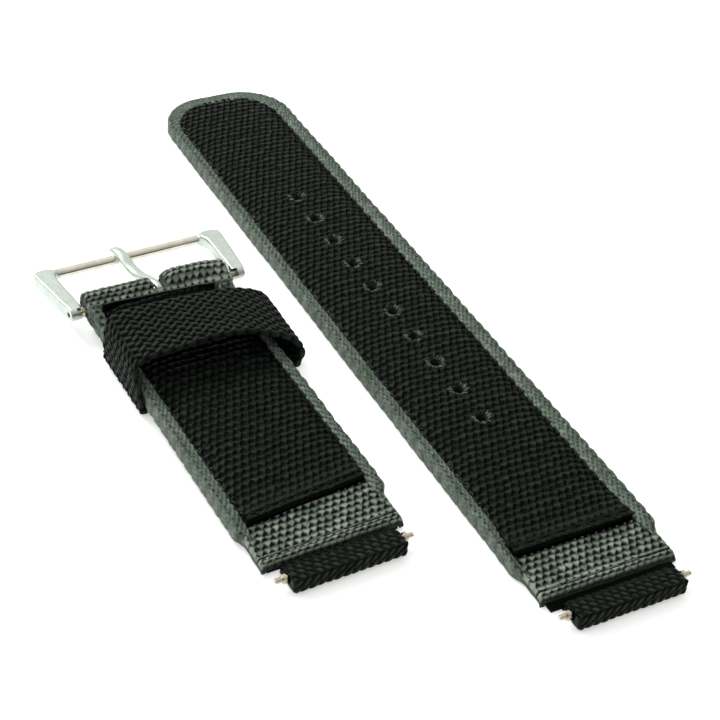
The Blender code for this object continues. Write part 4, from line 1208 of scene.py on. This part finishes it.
keeperLook = {
    # its front and back edges along the strap, low down and at the top; the band's width and its wall
    "front": (39.8, 42.7), "backEdge": (53.9, 54.6), "length": 12.9, "wall": 1.2, "girth": 66.0,
    # the yarns' waver, how far its edges calm the weave, the thinner left side, the front's shift at the right
    "waver": 0.22, "calm": 0.65, "thinner": 0.32, "lowFront": 0.7,
    # middle of the wall seen along the strap, at the front and at the back edge: it stands off in an arch
    "frontLine": [(0, -0.8), (-11.3, -0.8), (-12.35, 0.3), (-12.45, 1.8), (-12.55, 3.4), (-12.55, 5.2),
                  (-11.9, 6.4), (-10.4, 7.05), (-8.4, 7.25), (-5.0, 7.4), (-0.4, 7.7), (3.0, 7.55),
                  (6.0, 7.0), (9.4, 5.8), (12.4, 4.6), (14.4, 3.0), (15.0, 1.4), (14.4, -0.1), (12.8, -0.8)],
    "backLine": [(0, -0.8), (-11.3, -0.8), (-12.4, 0.4), (-12.5, 2.0), (-12.35, 3.8), (-12.0, 5.4),
                 (-11.0, 6.6), (-9.0, 6.95), (-5.0, 6.85), (0.0, 6.6), (6.9, 6.2), (10.2, 5.5), (13.2, 4.3),
                 (14.8, 3.0), (15.3, 1.4), (14.6, -0.2), (12.8, -0.8)],
}


def smoothLoop(points, count):
    # a closed curve through the points
    points = np.asarray(points, float)
    before, after, beyond = np.roll(points, 1, 0), np.roll(points, -1, 0), np.roll(points, -2, 0)
    line = []
    for t in np.linspace(0, 1, 12, endpoint=False):
        square = (2 * before - 5 * points + 4 * after - beyond) * t ** 2
        cube = (3 * points - before - 3 * after + beyond) * t ** 3
        line.append(0.5 * (2 * points + (after - before) * t + square + cube))
    return evenly(np.stack(line, 1).reshape(-1, 2), count, True)


def outwards(line):
    tangent = np.roll(line, -1, 0) - np.roll(line, 1, 0)
    normal = np.stack([-tangent[:, 1], tangent[:, 0]], 1)
    normal /= np.linalg.norm(normal, axis=1, keepdims=True)
    return normal if ((line - line.mean(0)) * normal).sum() > 0 else -normal


def addKeeper(name, replaced, seed):
    look, wall, length = keeperLook, keeperLook["wall"] / 2, keeperLook["length"]
    rows = int(look["girth"] / weaveStep)
    front, back = smoothLoop(look["frontLine"], rows), smoothLoop(look["backLine"], rows)
    corners = [(0.0, -wall, 0.35), (0.0, wall, 0.45), (length, wall, 0.45), (length, -wall, 0.35)]
    section = roundedRing(corners, int(2 * (length + look["wall"]) / weaveStep))
    along = np.repeat(distances(front)[:, None], len(section), 1)
    across = np.repeat(section[None, :, 0], rows, 0)
    thin = ease(np.minimum(across, length - across), -0.1, 0.5)
    # its yarns waver from float to float, so that the rows read as a zigzag
    waver = look["waver"] * np.sin(np.pi * along / keeperCloth["cross"])
    weave = webbing(across + waver, along, keeperCloth, seed) * (1 - look["calm"] + look["calm"] * thin)
    depth = keeperCloth["depth"] * weave
    edge = outwards(section)
    slimmer = 1 - look["thinner"] * ease(-front[:, 0], 10.5, 12.2)
    out = section[:, 1] * slimmer[:, None] + depth * edge[:, 1]
    share = ((section[:, 0] + depth * edge[:, 0]) / length)[..., None]
    middleLine = front[:, None, :] * (1 - share) + back[:, None, :] * share
    normal = outwards(front)[:, None, :] * (1 - share) + outwards(back)[:, None, :] * share
    spot = middleLine + normal * out[..., None]
    up = ease(middleLine[..., 1], 0.3, 7.2)
    nearY, farY = (look[part][0] + (look[part][1] - look[part][0]) * up for part in ("front", "backEdge"))
    nearY = nearY + look["lowFront"] * ease(middleLine[..., 0], 5, 14) * (1 - up)
    grid = np.stack([spot[..., 0], nearY + (farY - nearY) * share[..., 0], spot[..., 1]], -1)
    points, faces = sweep(grid, True)
    return addPiece(name, points, faces, shortPlace, ribbedNylon, "keeper", "keeper_webbing", replaced,
                    np.clip(1 + weave, 0, 1))


addKeeper("keeper_webbing", ["keeper_loop"], 71)
print("keeper built")


# Buckle

buckleLook = {
    # sizes of the U: rod and arms, and how the arms widen from the bar to the rod
    "rod": 12.0, "rodRadius": 0.8, "rodHalf": 12.4, "height": 2.2, "innerRear": 12.85, "innerFront": 13.45,
    "rearWidth": 2.1, "frontWidth": 3.1, "cornerCut": 0.7, "fillet": 1.8, "turns": 22, "rodRows": 60,
    # the pins' bores, and the hollow at each inner corner that bares a pin
    "boreRadius": 0.42, "hollowRadius": 0.72, "hollowReach": (-0.6, 0.95), "hollowCentre": (-0.45, 0.35),
}
tongueLook = {
    "width": 1.9, "baseWidth": 1.35, "thick": 1.1, "curl": 0.9, "curlInner": 0.95, "skew": math.radians(7.0),
    "opening": 35.0, "dip": 0.1, "rest": 1.15, "overhang": 2.5, "drop": 1.2, "sides": 24, "square": 0.9,
}


def frameRing(inner, outer, tall, roundness, count=36):
    # the arm's section: a flat top with a crisp outer ridge; towards the rod it turns into a circle
    inner, outer = np.array(inner, float), np.array(outer, float)
    width = np.linalg.norm(outer - inner)
    soft = min(0.5, 0.4 * width, 0.9 * tall)
    corners = [(0, -tall, soft), (0, tall, 0.6 * soft), (width, tall, 0.35 * soft), (width, -tall, soft)]
    box = roundedRing(corners, count)
    centre = np.array([width / 2, 0])
    angles = np.arctan2(box[:, 1] / (2 * tall), (box[:, 0] - centre[0]) / width)
    circle = centre + np.stack([width / 2 * np.cos(angles), tall * np.sin(angles)], 1)
    ring = box + (circle - box) * roundness
    return np.column_stack([inner + np.outer(ring[:, 0] / width, outer - inner), ring[:, 1]])


def tubeMesh(radius, reach, side=1, centre=(0.0, 0.0), sides=24):
    # a closed round bar along x, used to cut bores and hollows
    angles = [2 * math.pi * k / sides for k in range(sides)]
    y, z = centre
    ring = [((y + radius * math.cos(a)) * mm, (z + radius * math.sin(a)) * mm) for a in angles]
    points = [(side * x * mm, *spot) for x in reach for spot in ring]
    faces = [[k, (k + 1) % sides, sides + (k + 1) % sides, sides + k] for k in range(sides)]
    faces += [list(range(sides))[::-1], list(range(sides, 2 * sides))]
    if side < 0:
        faces = [face[::-1] for face in faces]
    mesh = bpy.data.meshes.new("bore")
    mesh.from_pydata(points, [], faces)
    return mesh


def cutAway(piece, cutterMesh):
    cutter = addObject("cutter", cutterMesh)
    cutter.matrix_world = bucklePlace
    cutting = piece.modifiers.new("cut", "BOOLEAN")
    cutting.operation, cutting.solver, cutting.object = "DIFFERENCE", "EXACT", cutter
    bpy.context.view_layer.update()
    bored = bpy.data.meshes.new_from_object(piece.evaluated_get(bpy.context.evaluated_depsgraph_get()))
    piece.modifiers.clear()
    piece.data = bored
    bpy.data.objects.remove(cutter)


def addFrame():
    look, turns = buckleLook, buckleLook["turns"]
    half, rod, thin, rodHalf = look["height"] / 2, look["rod"], look["rodRadius"], look["rodHalf"]
    front, back = rod + thin, rod - thin
    corner, fillet = front - look["cornerCut"], back - look["fillet"]
    outerRear, outerFront = look["innerRear"] + look["rearWidth"], look["innerFront"] + look["frontWidth"]

    def inside(y):
        return look["innerRear"] + (look["innerFront"] - look["innerRear"]) * (y + half) / (corner + half)

    def outside(y):
        return outerRear + (outerFront - outerRear) * (y + half) / (corner + half)

    rings = []
    for angle in np.radians(np.linspace(4, 90, 12)):
        y, tall = -half * math.cos(angle), half * math.sin(angle)
        rings.append(frameRing((inside(y), y), (outside(y), y), tall, 0))
    for y in np.linspace(0, fillet, 10)[1:]:
        rings.append(frameRing((inside(y), y), (outside(y), y), half, 0))
    # round the corner: the inner line follows the fillet, the outer one the corner and the front edge
    angles = np.radians(np.linspace(0, 90, turns + 1))[1:]
    innerLine = [(inside(fillet) - (inside(fillet) - rodHalf) * (1 - math.cos(a)),
                  fillet + (back - fillet) * math.sin(a)) for a in angles]
    near, tip = (outside(corner - 1.0), corner - 1.0), (outside(corner), corner)
    curve = [np.array(point) for point in (near, tip, (tip[0] - 1.0, corner + 0.28))]
    path = [(outside(fillet), fillet), near] + [bend(*curve, t) for t in np.linspace(0, 1, 7)]
    path += [(rodHalf + 0.6, front - 0.05), (rodHalf, front)]
    outerLine = evenly(path, turns + 1)[1:]
    for k in range(turns):
        late = float(ease((k + 1) / turns, 0.72, 1.0))
        rings.append(frameRing(innerLine[k], outerLine[k], half + (thin - half) * late, late))
    for x in np.linspace(rodHalf, 0, look["rodRows"])[1:]:
        rings.append(frameRing((x, back), (x, front), thin, 1))
    right = np.array(rings)
    left = right[:-1] * (-1, 1, 1)
    points, faces = sweep(np.concatenate([left, right[::-1]]))
    shown = addPiece("buckle_frame_shown", points, faces, bucklePlace, satinSteel, "frame", "buckle_steel",
                     ["buckle_frame"])
    # bores for the sprung bar's pins go through both arms, and a hollow at each inner corner bares the pin
    cutAway(shown, tubeMesh(look["boreRadius"], (-outerRear - 1.0, outerRear + 1.0)))
    for end in (-1, 1):
        reach = [look["innerRear"] + more for more in look["hollowReach"]]
        cutAway(shown, tubeMesh(look["hollowRadius"], reach, end, look["hollowCentre"]))
    # the rod is polished brighter than the arms
    shown.data.materials.append(rodSteel)
    for face in shown.data.polygons:
        if abs(face.center.x) < (rodHalf - 0.2) * mm and face.center.y > (back - 0.3) * mm:
            face.material_index = len(shown.data.materials) - 1
    return shown


def tongueLine():
    # along the tongue from its curl round the bar to its end: y, z, thickness, and how far its end narrows it
    look, rod = tongueLook, buckleLook["rod"]
    curl = look["curlInner"] + look["curl"] / 2
    line = [(y, z, look["curl"], 1.0) for y, z in arcPoints((0, 0), curl, -look["opening"], -270, 20)]
    ends = ((0, curl, look["curl"]), (rod * 0.6, look["dip"], look["thick"]),
            (rod, look["rest"], look["thick"]))
    for near, far in zip(ends, ends[1:]):
        for i in range(1, 13):
            t = i / 12
            smooth = (1 - math.cos(math.pi * t)) / 2
            y, z, thick = (a + (b - a) * s for a, b, s in zip(near, far, (t, smooth, t)))
            line.append((y, z, thick, 1.0))
    for i in range(1, 11):
        angle = math.pi / 2 * i / 10
        shrink = math.sqrt(max(0.04, 1 - (i / 10.2) ** 6))
        y, z = rod + look["overhang"] * math.sin(angle), look["rest"] - look["drop"] * (1 - math.cos(angle))
        line.append((y, z, look["thick"] * shrink, shrink))
    return line


def squared(value):
    # a sine or cosine that stays longer near its ends, for a rounded but squarer section
    return math.copysign(abs(value) ** tongueLook["square"], value)


def addTongue():
    look, line = tongueLook, tongueLine()
    grid = np.zeros((len(line), look["sides"], 3))
    for k, (y, z, thick, shrink) in enumerate(line):
        before, after = line[max(k - 1, 0)], line[min(k + 1, len(line) - 1)]
        along = np.array([after[0] - before[0], after[1] - before[1]])
        along /= np.linalg.norm(along)
        width = look["baseWidth"] + (look["width"] - look["baseWidth"]) * float(ease(y, 0.5, 6.0))
        for s in range(look["sides"]):
            angle = 2 * math.pi * s / look["sides"]
            across = squared(math.cos(angle)) * width / 2 * shrink
            up = squared(math.sin(angle)) * thick / 2
            grid[k, s] = (across, y - along[1] * up, z + along[0] * up)
    c, s = math.cos(look["skew"]), math.sin(look["skew"])
    x, y, z = np.moveaxis(grid, 2, 0)
    points, faces = sweep(np.stack([c * x - s * y, s * x + c * y, z], -1))
    return addPiece("buckle_prong", points, faces, bucklePlace, satinSteel, "tongue", "buckle_steel",
                    ["buckle_tongue"])


addFrame()
addTongue()
for nodeName, node in frame["nodes"].items():
    if "_bar_" in nodeName:
        node.data.materials.clear()
        node.data.materials.append(polishedSteel)
print("buckle built")


# Floor, light and camera

studioLook = {"floorHalf": 3.0, "floorLevel": -0.00003, "glow": 0.45, "paper": 0.9}
floorMaterial = bpy.data.materials.new("white studio floor")
floorMaterial.use_nodes = True
tree = floorMaterial.node_tree
tree.nodes.clear()
paper = addNode(tree, "ShaderNodeBsdfDiffuse", {"Color": (*[studioLook["paper"]] * 3, 1.0)})
path = addNode(tree, "ShaderNodeLightPath")
seen = addMath(tree, "ADD", path.outputs["Is Camera Ray"], path.outputs["Is Glossy Ray"])
seen = addMath(tree, "ADD", seen, path.outputs["Is Transmission Ray"])
glow = addMath(tree, "MULTIPLY", addMath(tree, "MINIMUM", seen, 1.0), studioLook["glow"])
white = addNode(tree, "ShaderNodeEmission", {"Color": (1, 1, 1, 1), "Strength": glow})
both = addNode(tree, "ShaderNodeAddShader", {0: paper.outputs[0], 1: white.outputs[0]})
addNode(tree, "ShaderNodeOutputMaterial", {"Surface": both.outputs[0]})
floorMesh = bpy.data.meshes.new("studio_floor")
half = studioLook["floorHalf"]
corners = [(-half, -half, 0), (half, -half, 0), (half, half, 0), (-half, half, 0)]
floorMesh.from_pydata(corners, [], [(0, 1, 2, 3)])
floorMesh.materials.append(floorMaterial)
floor = addObject("studio_floor", floorMesh)
floor.location = (0, 0, studioLook["floorLevel"])

# the room is brighter behind the strap than towards the viewer, so that the weave's near sides fall dark
roomLook = {"brightSide": (0.31, 0.72, 0.62), "dim": 0.22, "bright": 1.05}
world = bpy.data.worlds.new("soft room")
bpy.context.scene.world = world
world.use_nodes = True
tree = world.node_tree
tree.nodes.clear()
direction = addNode(tree, "ShaderNodeTexCoord").outputs["Generated"]
towards = addNode(tree, "ShaderNodeVectorMath", {0: direction, 1: roomLook["brightSide"]},
                  operation="DOT_PRODUCT").outputs["Value"]
strength = spread(tree, towards, roomLook["dim"], roomLook["bright"], -0.6, 1.0)
light = addNode(tree, "ShaderNodeBackground", {"Color": fromHex("#fdfefb"), "Strength": strength})
addNode(tree, "ShaderNodeOutputWorld", {"Surface": light.outputs[0]})

lamps = [
    # name, place, width, height, watts; each is aimed at the middle of the floor
    ("backSoftbox", (-0.16, 0.50, 0.50), 0.30, 0.25, 2.6),
    ("leftSoftbox", (-0.50, 0.10, 0.40), 0.4, 0.4, 0.7),
]
for name, spot, width, height, watts in lamps:
    data = bpy.data.lights.new(name, "AREA")
    data.shape = "RECTANGLE"
    data.size, data.size_y = width, height
    data.energy = watts
    lamp = addObject(name, data)
    lamp.location = spot
    lamp.rotation_euler = (-Vector(spot)).to_track_quat("-Z", "Y").to_euler()

cameraData = bpy.data.cameras.new("camera")
cameraData.sensor_width = 36
cameraData.lens = 86.1
camera = addObject("camera", cameraData)
camera.location = (-0.0992538, -0.190773, 0.168641)
camera.rotation_euler = (0.898, -0.079, -0.478)
bpy.context.scene.camera = camera
bpy.context.scene.view_settings.view_transform = "Standard"

bpy.context.view_layer.update()
print("scene ready")
